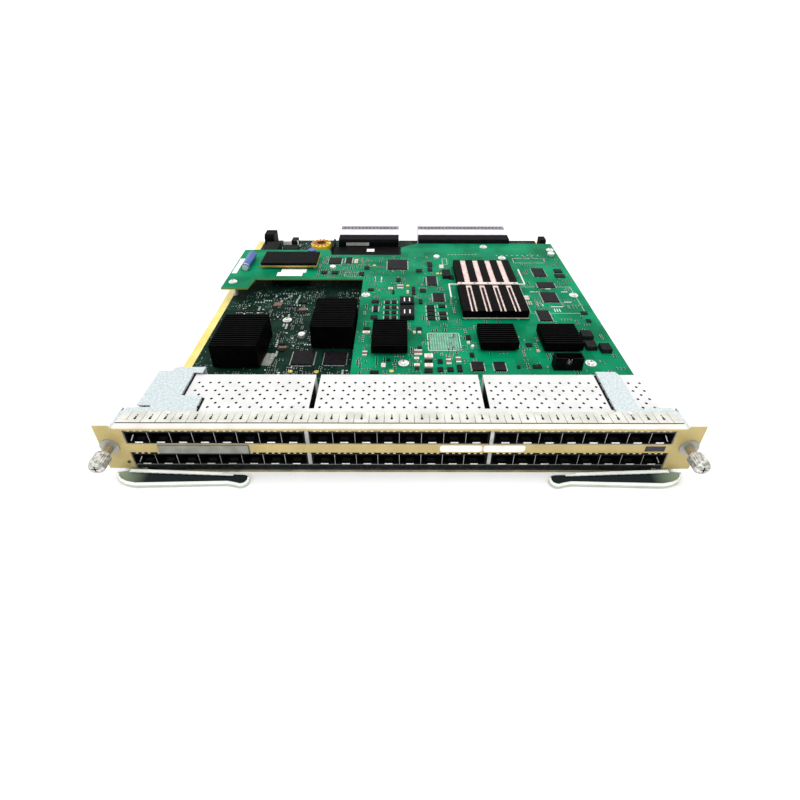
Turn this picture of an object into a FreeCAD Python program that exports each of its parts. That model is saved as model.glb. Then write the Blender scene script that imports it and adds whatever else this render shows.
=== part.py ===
import FreeCAD, Part
import math
import os

# Switch line card: a folded carrier tray with two stacked boards, three double-height port cages
# behind a punched front panel, two ejector levers and two captive thumbscrews.
# Frame: X across the card, Y from the front panel to the backplane edge, Z up.  The origin is on
# the underside of the tray, on the centre plane, level with the rear face of the front panel.
# All sizes are in millimetres.

V = FreeCAD.Vector

# ---- sheet and board stock -------------------------------------------------------------------
PANEL_T = 1.2
TRAY_T = 1.2
BRACKET_T = 0.8
CAGE_T = 0.5
GASKET_T = 0.3
MAIN_BOARD_T = 2.4
MEZZ_BOARD_T = 1.6
SEAT_GAP = 0.3          # gap left between pieces that pass close to each other
PRESS_GAP = 0.02        # radial gap of a pressed or riveted piece in its hole
RUN_GAP = 0.05          # radial gap of a running fit

# ---- ports and cages -------------------------------------------------------------------------
PORT_PITCH = 14.25
PORTS_ACROSS = 8
CAGE_COUNT = 3
CAGE_SIDE = 0.9         # what a cage's two side walls add to its ports' width
CAGE_GAP = 3.6
PORT_H = 8.7
ROW_PITCH = 19.7
CAGE_LIP_H = 1.5        # folded front lip above each row of ports
CAGE_FRONT_Y = -0.6
CAGE_REAR_Y = 58.6
SHELF_REAR_Y = 43.0
VENT_R = 1.25
VENT_ROW_PITCH = 4.4
VENT_ROWS = 7
VENT_FIRST_Y = 22.6
VENT_HALF_SPREAD = 4.0  # the paired vents stand this far each side of the port's centre line
TIE_TAB_REAR_Y = 21.3
LATCH_W = 5.5
LATCH_H = 1.1
LATCH_L = 2.2
LATCH_Y = 2.0
SOCKET_FRONT_Y = 44.0
SOCKET_NOSE_L = 8.0
SOCKET_NOSE_H = 5.6
SOCKET_SIDE = 0.5       # gap between a connector block and the divider beside it
SOCKET_NOSE_SIDE = 1.5

# ---- front panel -----------------------------------------------------------------------------
EAR_W = 17.7
WINDOW_SIDE_GAP = 0.6
WINDOW_SLIT_H = 1.1     # open slit above each cage lip, where the contact springs sit
TOP_RAIL_H = 1.9
MID_BAND_H = 7.4
POST_W = 2.4
POST_BOTTOM_Z = 7.6
EAR_BOTTOM_Z = 3.4
EAR_RISE = 1.9
EAR_NOTCH_W = 10.4      # width of the raised part of each ear
EAR_SLOPE_W = 1.4
FLANGE_D = 5.3
BEND_R = 1.4

# ---- tray and boards -------------------------------------------------------------------------
TRAY_LEN = 389.0
TRAY_LIP_H = 3.0
RAIL_INSET = 8.75       # the rails end this far inside the panel's ends
RAIL_W = 8.2            # outward rail that slides in the chassis guides
RAIL_RISE = 3.8
BOARD_LIFT = 2.7
BOARD_SETBACK = 1.2     # the main board ends this far inside the tray's rear edge
MEZZ_GAP = 13.2         # clear height between the two boards
MEZZ_SETBACK = 46.0     # what the upper board leaves free behind it for the backplane connectors
MEZZ_CAGE_GAP = 2.0
MEZZ_INSET = 1.1        # the upper board ends this far inside the rails
MEZZ_WAIST_X = -39.0
WING_D = 76.6
WING_SETBACK = 65.3
LOBE_D = 98.2
LOBE_W = 27.4
BAY_SETBACK = 79.8      # the wing is cut back here round the left backplane connector
BOSS_R = 3.0

# ---- levers ----------------------------------------------------------------------------------
PIVOT_INSET = 3.0       # the pivots stand this far inside the rails' ends
PIVOT_Y = 4.5
PIVOT_R = 1.5
EYE_R = 4.0
LEVER_T = 1.2
LEVER_Z = 0.6
LEVER_WALL_T = 1.0
LEVER_ROOT_H = 3.3
LEVER_TIP_H = 3.0
LEVER_REACH = 83.8      # from the pivot to the finger end
LEVER_BULB_R = 4.9
LEVER_POINT = 6.3       # from the pivot to the outer point
LEVER_FULL_WALL = 0.9   # from the pivot to where the wall is at its full height
LEVER_SWING = 45.0
LEVER_LIP_H = 1.1       # low lip that still passes under the ear
BULB_SIDES = 7

# ---- captive thumbscrews ---------------------------------------------------------------------
SCREW_INSET = 6.25      # the screws stand this far inside the panel's ends
SCREW_Z = 23.6
THREAD_R = 1.5
THREAD_END_Y = 5.0
HEAD_R = 5.3
HEAD_REAR_Y = -9.2
HEAD_L = 11.3
HEAD_BORE_R = 3.5
HEAD_BORE_L = 7.5
KNURL_COUNT = 14
KNURL_DEPTH = 0.45
FERRULE_R = 3.0
FERRULE_BODY_R = 3.2
FERRULE_FLANGE_R = 6.35
FERRULE_FLANGE_T = 0.8
FERRULE_FRONT_Y = -8.9
SPRING_R = 1.97
SPRING_WIRE = 0.45
SPRING_REAR_Y = -2.0
RING_R = 2.2
RING_T = 0.8
GROOVE_DEPTH = 0.3

# ---- worked-out levels -----------------------------------------------------------------------
CAGE_W = PORTS_ACROSS * PORT_PITCH + CAGE_SIDE
CAGE_STEP = CAGE_W + CAGE_GAP
FIELD_HALF = (CAGE_COUNT * CAGE_W + (CAGE_COUNT - 1) * CAGE_GAP) / 2
EAR_INNER_X = FIELD_HALF + WINDOW_SIDE_GAP
PANEL_HALF = EAR_INNER_X + EAR_W
BOARD_Z = TRAY_T + BOARD_LIFT
BOARD_TOP = BOARD_Z + MAIN_BOARD_T
LOWER_FLOOR = BOARD_TOP + CAGE_T
UPPER_FLOOR = LOWER_FLOOR + ROW_PITCH
LOWER_CEILING = LOWER_FLOOR + PORT_H
UPPER_CEILING = UPPER_FLOOR + PORT_H
CAGE_TOP = UPPER_CEILING + CAGE_LIP_H
WINDOW_TOP = CAGE_TOP + WINDOW_SLIT_H
PANEL_TOP = WINDOW_TOP + TOP_RAIL_H
EAR_TOP = PANEL_TOP + EAR_RISE
MID_BAND_TOP = UPPER_FLOOR - CAGE_T - 0.2
MID_BAND_BOTTOM = MID_BAND_TOP - MID_BAND_H
FLANGE_HALF = PANEL_HALF - EAR_NOTCH_W - EAR_SLOPE_W
RAIL_HALF = PANEL_HALF - RAIL_INSET
TRAY_HALF = RAIL_HALF - RAIL_W + TRAY_T
BOARD_HALF = TRAY_HALF - TRAY_T - SEAT_GAP
BOARD_REAR_Y = TRAY_LEN - BOARD_SETBACK
RAIL_TOP = RAIL_RISE + TRAY_T
MEZZ_Z = BOARD_TOP + MEZZ_GAP
MEZZ_TOP = MEZZ_Z + MEZZ_BOARD_T
MEZZ_HALF = RAIL_HALF - MEZZ_INSET
MEZZ_FRONT_Y = CAGE_REAR_Y + MEZZ_CAGE_GAP
MEZZ_REAR_Y = BOARD_REAR_Y - MEZZ_SETBACK
WING_REAR_Y = BOARD_REAR_Y - WING_SETBACK
WING_FRONT_Y = WING_REAR_Y - WING_D
LOBE_FRONT_Y = WING_REAR_Y - LOBE_D
BAY_REAR_Y = BOARD_REAR_Y - BAY_SETBACK
PIVOT_X = RAIL_HALF - PIVOT_INSET
LEVER_TIP_X = PIVOT_X - LEVER_REACH
LEVER_POINT_X = PIVOT_X + LEVER_POINT
LEVER_FULL_WALL_X = PIVOT_X + LEVER_FULL_WALL
SCREW_X = PANEL_HALF - SCREW_INSET
BRACKET_TOP = PANEL_TOP - PANEL_T
BRACKET_Z = BRACKET_TOP - BRACKET_T
CAGE_CENTRES = [CAGE_STEP * (i - (CAGE_COUNT - 1) / 2) for i in range(CAGE_COUNT)]
CAGE_NAMES = ["left", "middle", "right"]


# ---- helpers ---------------------------------------------------------------------------------
def box(x0, x1, y0, y1, z0, z1):
    return Part.makeBox(x1 - x0, y1 - y0, z1 - z0, V(x0, y0, z0))


def prism(points, direction):
    """A straight prism on a closed outline of 3-D points."""
    wire = Part.makePolygon([V(*p) for p in points] + [V(*points[0])])
    return Part.Face(wire).extrude(V(*direction))


def plan(points, z0, z1):
    return prism([(x, y, z0) for x, y in points], (0, 0, z1 - z0))


def side(points, x0, x1):
    return prism([(x0, y, z) for y, z in points], (x1 - x0, 0, 0))


def rod(radius, x, z, y0, y1):
    return Part.makeCylinder(radius, y1 - y0, V(x, y0, z), V(0, 1, 0))


def post(radius, x, y, z0, z1):
    return Part.makeCylinder(radius, z1 - z0, V(x, y, z0))


def ring_of(count, radius, x, y, z0, z1, turn=0.0):
    """An upright prism with a regular outline."""
    step = 2 * math.pi / count
    points = [(x + radius * math.cos(turn + i * step), y + radius * math.sin(turn + i * step))
              for i in range(count)]
    return plan(points, z0, z1)


def rod_of(count, radius, x, z, y0, y1):
    """A prism along Y with a regular outline."""
    step = 2 * math.pi / count
    points = [(x + radius * math.cos((i + 0.5) * step), y0, z + radius * math.sin((i + 0.5) * step))
              for i in range(count)]
    return prism(points, (0, y1 - y0, 0))


def join(shapes):
    shape = shapes[0].multiFuse(shapes[1:]) if len(shapes) > 1 else shapes[0]
    return shape.removeSplitter()


def mirrored(shape):
    return shape.mirror(V(0, 0, 0), V(1, 0, 0))


def save(name, shapes):
    """One STEP file per node; a list becomes a group of separate solids."""
    if not isinstance(shapes, list):
        shapes = [shapes]
    shape = shapes[0] if len(shapes) == 1 else Part.makeCompound(shapes)
    shape.exportStep("parts/" + name + ".step")
    print(name, len(shape.Solids), "solid(s), valid", shape.isValid())


def save_pair(name, right_piece):
    save("right_" + name, right_piece)
    save("left_" + name, mirrored(right_piece))


# ---- carrier tray ----------------------------------------------------------------------------
TRAY_CORNER_W = 17.5
TRAY_CORNER_Y = 17.5
TRAY_CORNER_X = RAIL_HALF - TRAY_CORNER_W
BOSS_INSET = 12.0       # from the main board's side edges
BOSS_ROWS = [70.0, 205.0, BOARD_REAR_Y - 15.8]
BOSS_COLUMNS = [BOSS_INSET - BOARD_HALF, -60.0, 60.0, BOARD_HALF - BOSS_INSET]
FRONT_SCREW_AT = (-110.2, 185.1)


def carrier_tray():
    # a hat section: floor, an upright at each side, and a rail folded outwards
    section = [(-RAIL_HALF, RAIL_RISE), (-TRAY_HALF, RAIL_RISE), (-TRAY_HALF, 0), (TRAY_HALF, 0),
               (TRAY_HALF, RAIL_RISE), (RAIL_HALF, RAIL_RISE), (RAIL_HALF, RAIL_TOP),
               (TRAY_HALF - TRAY_T, RAIL_TOP), (TRAY_HALF - TRAY_T, TRAY_T),
               (-TRAY_HALF + TRAY_T, TRAY_T), (-TRAY_HALF + TRAY_T, RAIL_TOP), (-RAIL_HALF, RAIL_TOP)]
    tray = prism([(x, -PANEL_T, z) for x, z in section], (0, TRAY_LEN + PANEL_T, 0))
    corner = box(TRAY_CORNER_X, RAIL_HALF + 1, -PANEL_T - 1, TRAY_CORNER_Y, -1, RAIL_TOP + 1)
    tray = tray.cut(Part.makeCompound([corner, mirrored(corner)]))
    lip = box(-TRAY_CORNER_X, TRAY_CORNER_X, -PANEL_T, 0, 0, TRAY_LIP_H)
    places = [(x, y) for x in BOSS_COLUMNS for y in BOSS_ROWS] + [FRONT_SCREW_AT]
    bosses = [ring_of(8, BOSS_R, x, y, TRAY_T - 0.2, BOARD_Z) for x, y in places]
    return join([tray, lip] + bosses)


# ---- front panel -----------------------------------------------------------------------------
def faceplate():
    fold_z = PANEL_TOP - BEND_R - 0.3
    outline = [(-PANEL_HALF, EAR_BOTTOM_Z), (PANEL_HALF, EAR_BOTTOM_Z), (PANEL_HALF, EAR_TOP),
               (PANEL_HALF - EAR_NOTCH_W, EAR_TOP), (FLANGE_HALF, fold_z), (-FLANGE_HALF, fold_z),
               (-PANEL_HALF + EAR_NOTCH_W, EAR_TOP), (-PANEL_HALF, EAR_TOP)]
    sheet = prism([(x, -PANEL_T, z) for x, z in outline], (0, PANEL_T, 0))
    # the top edge is folded back into a flange with a round outer bend
    bend = Part.Arc(V(0, -PANEL_T, PANEL_TOP - BEND_R),
                    V(0, -PANEL_T + BEND_R * (1 - math.sqrt(0.5)), PANEL_TOP - BEND_R * (1 - math.sqrt(0.5))),
                    V(0, -PANEL_T + BEND_R, PANEL_TOP)).toShape()
    corners = [V(0, -PANEL_T + BEND_R, PANEL_TOP), V(0, FLANGE_D, PANEL_TOP),
               V(0, FLANGE_D, PANEL_TOP - PANEL_T), V(0, 0, PANEL_TOP - PANEL_T), V(0, 0, fold_z),
               V(0, -PANEL_T, fold_z), V(0, -PANEL_T, PANEL_TOP - BEND_R)]
    edges = [bend] + [Part.makeLine(a, b) for a, b in zip(corners, corners[1:])]
    fold = Part.Face(Part.Wire(Part.__sortEdges__(edges))).extrude(V(2 * FLANGE_HALF, 0, 0))
    fold.translate(V(-FLANGE_HALF, 0, 0))
    panel = join([sheet, fold])
    cuts = []
    for centre in CAGE_CENTRES:
        inner = (CAGE_STEP - POST_W) / 2
        left = centre - inner if centre > CAGE_CENTRES[0] + 1 else -EAR_INNER_X
        right = centre + inner if centre < CAGE_CENTRES[-1] - 1 else EAR_INNER_X
        cuts.append(box(left, right, -PANEL_T - 1, 1, MID_BAND_TOP, WINDOW_TOP))
        cuts.append(box(left, right, -PANEL_T - 1, 1, EAR_BOTTOM_Z - 1, MID_BAND_BOTTOM))
    cuts.append(box(-EAR_INNER_X, EAR_INNER_X, -PANEL_T - 1, 1, EAR_BOTTOM_Z - 1, POST_BOTTOM_Z))
    for x in (-SCREW_X, SCREW_X):
        cuts.append(rod(FERRULE_BODY_R + PRESS_GAP, x, SCREW_Z, -PANEL_T - 1, 1))
    cuts.append(rod_of(10, LED_R + PRESS_GAP, LED_X, LED_Z, -PANEL_T - 1, 1))
    return panel.cut(Part.makeCompound(cuts))


LED_R = 1.1
LED_INSET = 14.65
LED_X = LED_INSET - PANEL_HALF
LED_Z = 9.6


def status_led():
    """A round lens pressed into the left ear."""
    return rod_of(10, LED_R, LED_X, LED_Z, -PANEL_T - 0.5, 0.0)


LABEL_X0, LABEL_X1 = -157.0, -97.6
LABEL_Z0, LABEL_Z1 = 17.6, 25.4
LABEL_T = 0.6


def label_plate():
    plate = box(LABEL_X0, LABEL_X1, -PANEL_T - LABEL_T, -PANEL_T, LABEL_Z0, LABEL_Z1)
    upright = [e for e in plate.Edges if abs(e.Length - LABEL_T) < 1e-6]
    return plate.makeFillet(0.5, upright)


# ---- finger gasket ---------------------------------------------------------------------------
FINGER_PITCH = 9.8
FINGER_ROOT_D = 0.9
FINGER_CROWN_Y = 8.2
FINGER_TAIL_Y = 12.8
FINGER_REAR_Y = 15.8
FINGER_CROWN_RISE = 0.55
FINGER_SLIT_W = 0.4
RIVET_R = 0.7
RIVET_HEAD_R = 1.3
RIVET_HEAD_H = 0.5
RIVET_PLACES = [(-152.2, 14.4), (151.9, 14.4)]


def gasket_strip():
    """Spring sheet behind the flange; its fingers arch up and rest their tails on the brackets."""
    root_y = FLANGE_D + FINGER_ROOT_D
    under = [(FLANGE_D, 0.0), (FINGER_CROWN_Y, FINGER_CROWN_RISE), (FINGER_TAIL_Y, 0.0),
             (FINGER_REAR_Y, 0.0)]
    over = [(y, z + GASKET_T) for y, z in reversed(under)]
    strip = side([(y, z + BRACKET_TOP) for y, z in under + over], -FLANGE_HALF, FLANGE_HALF)
    count = int(2 * FLANGE_HALF / FINGER_PITCH)
    start = -(count - 1) * FINGER_PITCH / 2
    z0, z1 = BRACKET_TOP - 1, PANEL_TOP + 1
    cuts = []
    for i in range(count):
        x = start + i * FINGER_PITCH
        half = FINGER_SLIT_W / 2
        cuts.append(box(x - half, x + half, root_y, FINGER_REAR_Y + 1, z0, z1))
    cuts += [ring_of(6, RIVET_R + PRESS_GAP, x, y, z0, z1) for x, y in RIVET_PLACES]
    return strip.cut(Part.makeCompound(cuts))


# ---- corner brackets -------------------------------------------------------------------------
BRACKET_FRONT_Y = 6.4
FOOT_Z = LEVER_Z + LEVER_T + SEAT_GAP
FOOT_D = 9.0
CORNER_D = 20.4


def bracket_frame():
    """The folded legs that both brackets share, drawn for the right side."""
    leg = box(RAIL_HALF - BRACKET_T, RAIL_HALF, 0, TRAY_CORNER_Y, FOOT_Z, BRACKET_TOP)
    heel = box(RAIL_HALF - BRACKET_T, RAIL_HALF, 0, CORNER_D, RAIL_TOP, BRACKET_TOP)
    front = box(EAR_INNER_X + SEAT_GAP, RAIL_HALF, 0, BRACKET_T, FOOT_Z, BRACKET_TOP)
    foot = box(EAR_INNER_X + 1.2, RAIL_HALF, 0, FOOT_D, FOOT_Z, FOOT_Z + BRACKET_T)
    roof = box(EAR_INNER_X + SEAT_GAP, RAIL_HALF, 0, BRACKET_FRONT_Y + 1, BRACKET_Z, BRACKET_TOP)
    return [leg, heel, front, foot, roof]


def bracket_cuts():
    """The hole of the lever's rivet, drawn for the right side."""
    return post(PIVOT_R + PRESS_GAP, PIVOT_X, PIVOT_Y, FOOT_Z - 1, FOOT_Z + BRACKET_T + 1)


def rivet_holes():
    return [ring_of(6, RIVET_R + PRESS_GAP, x, y, BRACKET_Z - 1, BRACKET_TOP + 1) for x, y in RIVET_PLACES]


RIGHT_STRAP = (143.9, 160.2)
RIGHT_STRAP_REAR_Y = 59.2
LEFT_PLATE_X = (-176.8, -150.8)
LEFT_PLATE_REAR_Y = 60.7
LEFT_TAB_X = (-166.4, -144.2)
LEFT_TAB_REAR_Y = 65.4
LEFT_STEP_X = -135.8
LEFT_STEP_Y = 31.8
LEFT_STEP_FRONT_X = -131.5


def right_bracket():
    x0, x1 = RIGHT_STRAP
    outline = [(x0, BRACKET_FRONT_Y), (RAIL_HALF, BRACKET_FRONT_Y), (RAIL_HALF, CORNER_D - 6),
               (RAIL_HALF - 3.5, CORNER_D), (x1 + 7.6, CORNER_D), (x1 + 6, CORNER_D - 1.6),
               (x1, CORNER_D - 1.0), (x1, RIGHT_STRAP_REAR_Y - 3.6), (x1 - 1.6, RIGHT_STRAP_REAR_Y),
               (x0, RIGHT_STRAP_REAR_Y)]
    roof = plan(outline, BRACKET_Z, BRACKET_TOP)
    hem = box(x0, x1 - 1.6, RIGHT_STRAP_REAR_Y, RIGHT_STRAP_REAR_Y + BRACKET_T, BOARD_TOP, BRACKET_TOP)
    cuts = [bracket_cuts()] + rivet_holes()
    return join([roof, hem] + bracket_frame()).cut(Part.makeCompound(cuts))


def left_bracket():
    x0, x1 = LEFT_PLATE_X
    t0, t1 = LEFT_TAB_X
    notch_y = CORNER_D + 2.2
    outline = [(-RAIL_HALF, BRACKET_FRONT_Y), (LEFT_STEP_FRONT_X, BRACKET_FRONT_Y),
               (LEFT_STEP_X, CORNER_D), (LEFT_STEP_X, LEFT_STEP_Y), (x1, LEFT_STEP_Y + 1),
               (x1, LEFT_PLATE_REAR_Y - 2), (t1, LEFT_PLATE_REAR_Y - 2), (t1, LEFT_TAB_REAR_Y),
               (t0, LEFT_TAB_REAR_Y), (t0 - 1, LEFT_PLATE_REAR_Y), (x0, LEFT_PLATE_REAR_Y),
               (x0, notch_y), (x0 + 9, notch_y), (x0 + 10, CORNER_D), (-RAIL_HALF + 3.5, CORNER_D),
               (-RAIL_HALF, CORNER_D - 6)]
    roof = plan(outline, BRACKET_Z, BRACKET_TOP)
    hem = box(t0, t1, LEFT_TAB_REAR_Y - BRACKET_T, LEFT_TAB_REAR_Y, BOARD_TOP, BRACKET_TOP)
    frame = [mirrored(s) for s in bracket_frame()]
    cuts = [mirrored(bracket_cuts())] + rivet_holes()
    return join([roof, hem] + frame).cut(Part.makeCompound(cuts))


def panel_rivets():
    """Two rivets that hold the gasket's tails to the brackets."""
    top = BRACKET_TOP + GASKET_T
    return [join([ring_of(8, RIVET_HEAD_R, x, y, top, top + RIVET_HEAD_H),
                  ring_of(6, RIVET_R, x, y, BRACKET_Z, top + 0.1)]) for x, y in RIVET_PLACES]


# ---- port cages ------------------------------------------------------------------------------
def latch(x, floor_z):
    """A tongue pressed up from a port's floor, which holds the plugged module."""
    return side([(LATCH_Y, floor_z - 0.1), (LATCH_Y + LATCH_L, floor_z - 0.1),
                 (LATCH_Y + LATCH_L, floor_z + LATCH_H)], x - LATCH_W / 2, x + LATCH_W / 2)


def port_centres(centre):
    return [centre + PORT_PITCH * (i + 0.5 - PORTS_ACROSS / 2) for i in range(PORTS_ACROSS)]


def cage_shell(centre):
    x0, x1 = centre - CAGE_W / 2, centre + CAGE_W / 2
    outer = box(x0, x1, CAGE_FRONT_Y, CAGE_REAR_Y, BOARD_TOP, CAGE_TOP - CAGE_T)
    inner = box(x0 + CAGE_T, x1 - CAGE_T, CAGE_FRONT_Y - 1, CAGE_REAR_Y - CAGE_T, LOWER_FLOOR, CAGE_TOP)
    band_way = box(x0 - 1, x1 + 1, CAGE_FRONT_Y - 1, SEAT_GAP, MID_BAND_BOTTOM - SEAT_GAP,
                   MID_BAND_TOP + SEAT_GAP)
    shell = outer.cut(Part.makeCompound([inner, band_way]))
    return join([shell] + [latch(x, LOWER_FLOOR) for x in port_centres(centre)])


def cage_cover(centre):
    """Perforated roof with a lip folded down over the upper ports and tie tabs at the front."""
    x0, x1 = centre - CAGE_W / 2, centre + CAGE_W / 2
    roof = box(x0, x1, CAGE_FRONT_Y, CAGE_REAR_Y, CAGE_TOP - CAGE_T, CAGE_TOP)
    lip = box(x0, x1, CAGE_FRONT_Y, CAGE_FRONT_Y + CAGE_T, UPPER_CEILING, CAGE_TOP)
    lip = lip.cut(box(x0 - 1, x0 + CAGE_T, -2, 2, UPPER_CEILING - 1, CAGE_TOP - CAGE_T))
    lip = lip.cut(box(x1 - CAGE_T, x1 + 1, -2, 2, UPPER_CEILING - 1, CAGE_TOP - CAGE_T))
    pieces = [roof, lip]
    reach = CAGE_GAP / 2
    if centre > CAGE_CENTRES[0] + 1:
        pieces.append(box(x0 - reach, x0 + 1, SEAT_GAP, TIE_TAB_REAR_Y, CAGE_TOP - CAGE_T, CAGE_TOP))
    if centre < CAGE_CENTRES[-1] - 1:
        pieces.append(box(x1 - 1, x1 + reach, SEAT_GAP, TIE_TAB_REAR_Y, CAGE_TOP - CAGE_T, CAGE_TOP))
    cover = join(pieces)
    vents = []
    for x in port_centres(centre):
        for row in range(VENT_ROWS):
            y = VENT_FIRST_Y + row * VENT_ROW_PITCH
            spread = (-VENT_HALF_SPREAD, VENT_HALF_SPREAD) if row % 2 == 0 else (0.0,)
            vents += [ring_of(4, VENT_R, x + dx, y, CAGE_TOP - CAGE_T - 1, CAGE_TOP + 1) for dx in spread]
    return cover.cut(Part.makeCompound(vents))


def cage_shelf(centre):
    """The folded channel between the two rows; its upper sheet is the floor of the upper ports."""
    t = CAGE_T
    web_y = SEAT_GAP + 0.3
    low, high = LOWER_CEILING, UPPER_FLOOR
    front = CAGE_FRONT_Y
    section = [(front, low), (SHELF_REAR_Y, low), (SHELF_REAR_Y, low + t), (web_y + t, low + t),
               (web_y + t, high - t), (SHELF_REAR_Y, high - t), (SHELF_REAR_Y, high), (front, high),
               (front, high - t), (web_y, high - t), (web_y, low + t), (front + t, low + t),
               (front + t, low + CAGE_LIP_H), (front, low + CAGE_LIP_H)]
    shelf = side(section, centre - CAGE_W / 2 + t, centre + CAGE_W / 2 - t)
    return join([shelf] + [latch(x, UPPER_FLOOR) for x in port_centres(centre)])


def cage_dividers(centre):
    plates = []
    for i in range(1, PORTS_ACROSS):
        x = centre + PORT_PITCH * (i - PORTS_ACROSS / 2)
        x0, x1 = x - CAGE_T / 2, x + CAGE_T / 2
        rear = CAGE_REAR_Y - CAGE_T
        plates.append(box(x0, x1, CAGE_FRONT_Y, rear, LOWER_FLOOR, LOWER_CEILING))
        plates.append(box(x0, x1, CAGE_FRONT_Y + CAGE_T, rear, UPPER_FLOOR, CAGE_TOP - CAGE_T))
    return plates


def cage_sockets(centre):
    """Stacked edge connectors: a block at the back of each column with a nose in each port."""
    blocks = []
    rear = CAGE_REAR_Y - CAGE_T
    half = PORT_PITCH / 2 - SOCKET_SIDE
    nose_half = PORT_PITCH / 2 - SOCKET_NOSE_SIDE
    for x in port_centres(centre):
        parts = [box(x - half, x + half, SOCKET_FRONT_Y, rear, LOWER_FLOOR, CAGE_TOP - CAGE_T)]
        for floor in (LOWER_FLOOR, UPPER_FLOOR):
            mid = floor + PORT_H / 2
            parts.append(box(x - nose_half, x + nose_half, SOCKET_FRONT_Y - SOCKET_NOSE_L, SOCKET_FRONT_Y,
                             mid - SOCKET_NOSE_H / 2, mid + SOCKET_NOSE_H / 2))
        blocks.append(join(parts))
    return blocks


# ---- boards ----------------------------------------------------------------------------------
SIDE_SCREW_INSET = 6.0  # of the screws by the upper board's rear corner
REAR_SCREW_INSET = 11.0
SCREW_PLACES = [(8.9 - MEZZ_HALF, LOBE_FRONT_Y + 13.8), (3.3, 93.7), (-34.1, 209.4),
                (100.5, MEZZ_REAR_Y - REAR_SCREW_INSET), (117.4, 298.7),
                (MEZZ_HALF - SIDE_SCREW_INSET, MEZZ_REAR_Y - 20.1), (MEZZ_HALF - 10.1, 209.2), (155.0, 93.7)]
STANDOFF_R = 3.1
BOARD_HOLE_R = 1.6
HEAD_SIDES = 8
BOARD_SCREW_HEAD_R = 2.9
BOARD_SCREW_HEAD_H = 1.8
WASHER_R = 4.4
WASHER_T = 0.7


def main_board():
    """The lower board; its front corners are notched round the ears of the front panel."""
    half = BOARD_HALF
    inner = EAR_INNER_X - SEAT_GAP - 0.2
    back = BRACKET_T + SEAT_GAP
    outline = [(-inner, CAGE_FRONT_Y), (inner, CAGE_FRONT_Y), (inner, back), (half, back),
               (half, BOARD_REAR_Y), (-half, BOARD_REAR_Y), (-half, back), (-inner, back)]
    hole = ring_of(8, BOARD_HOLE_R, *FRONT_SCREW_AT, BOARD_Z - 1, BOARD_TOP + 1)
    return plan(outline, BOARD_Z, BOARD_TOP).cut(hole)


def mezzanine_board():
    outline = [(MEZZ_WAIST_X, MEZZ_FRONT_Y), (MEZZ_HALF, MEZZ_FRONT_Y), (MEZZ_HALF, MEZZ_REAR_Y),
               (20.8, MEZZ_REAR_Y), (1.4, MEZZ_REAR_Y - 12), (1.4, BAY_REAR_Y), (-80.0, BAY_REAR_Y),
               (-83.0, WING_REAR_Y), (-MEZZ_HALF, WING_REAR_Y), (-MEZZ_HALF, LOBE_FRONT_Y),
               (-MEZZ_HALF + LOBE_W, LOBE_FRONT_Y), (-MEZZ_HALF + LOBE_W + 3, WING_FRONT_Y),
               (MEZZ_WAIST_X, WING_FRONT_Y)]
    board = plan(outline, MEZZ_Z, MEZZ_TOP)
    holes = [ring_of(8, BOARD_HOLE_R, x, y, MEZZ_Z - 1, MEZZ_TOP + 1) for x, y in SCREW_PLACES]
    return board.cut(Part.makeCompound(holes))


def board_standoffs():
    return [ring_of(6, STANDOFF_R, x, y, BOARD_TOP, MEZZ_Z) for x, y in SCREW_PLACES]


def board_screws():
    """Pan-head screws on flat washers: one at each standoff, and one down to the tray's own boss."""
    screws = []
    places = [(x, y, MEZZ_Z, MEZZ_TOP) for x, y in SCREW_PLACES] + [(*FRONT_SCREW_AT, BOARD_Z, BOARD_TOP)]
    for x, y, low, level in places:
        washer = ring_of(HEAD_SIDES, WASHER_R, x, y, level, level + WASHER_T)
        head = ring_of(HEAD_SIDES, BOARD_SCREW_HEAD_R, x, y, level + WASHER_T,
                       level + WASHER_T + BOARD_SCREW_HEAD_H)
        shank = ring_of(8, BOARD_HOLE_R - RUN_GAP, x, y, low, level + 0.1)
        screws.append(join([washer, head, shank]))
    return screws


LINK_PLACES = [(60.0, 230.0), (150.0, 140.0), (-120.0, WING_FRONT_Y + 16.1)]
LINK_SIZE = (40.0, 7.0)
LINK_WALL = 1.2


def link_sockets():
    """The lower halves of the stacking connectors, open at the top."""
    w, d = LINK_SIZE
    tall = MEZZ_GAP * 0.55
    out = []
    for x, y in LINK_PLACES:
        body = box(x - w / 2, x + w / 2, y - d / 2, y + d / 2, BOARD_TOP, BOARD_TOP + tall)
        well = box(x - w / 2 + LINK_WALL, x + w / 2 - LINK_WALL, y - d / 2 + LINK_WALL,
                   y + d / 2 - LINK_WALL, BOARD_TOP + LINK_WALL, BOARD_TOP + tall + 1)
        out.append(body.cut(well))
    return out


def link_plugs():
    """The upper halves: a flange on the upper board with a tongue in the lower half's well."""
    w, d = LINK_SIZE
    tall = MEZZ_GAP * 0.55
    play = LINK_WALL + 0.2
    out = []
    for x, y in LINK_PLACES:
        flange = box(x - w / 2, x + w / 2, y - d / 2, y + d / 2, BOARD_TOP + tall, MEZZ_Z)
        tongue = box(x - w / 2 + play, x + w / 2 - play, y - d / 2 + play, y + d / 2 - play,
                     BOARD_TOP + LINK_WALL + 0.5, BOARD_TOP + tall + 0.1)
        out.append(join([flange, tongue]))
    return out


# ---- heat sinks and packages -----------------------------------------------------------------
PACKAGE_T = 2.0
SINK_BASE_T = 2.4
FIN_PITCH = 3.1
FIN_T = 1.3
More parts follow.
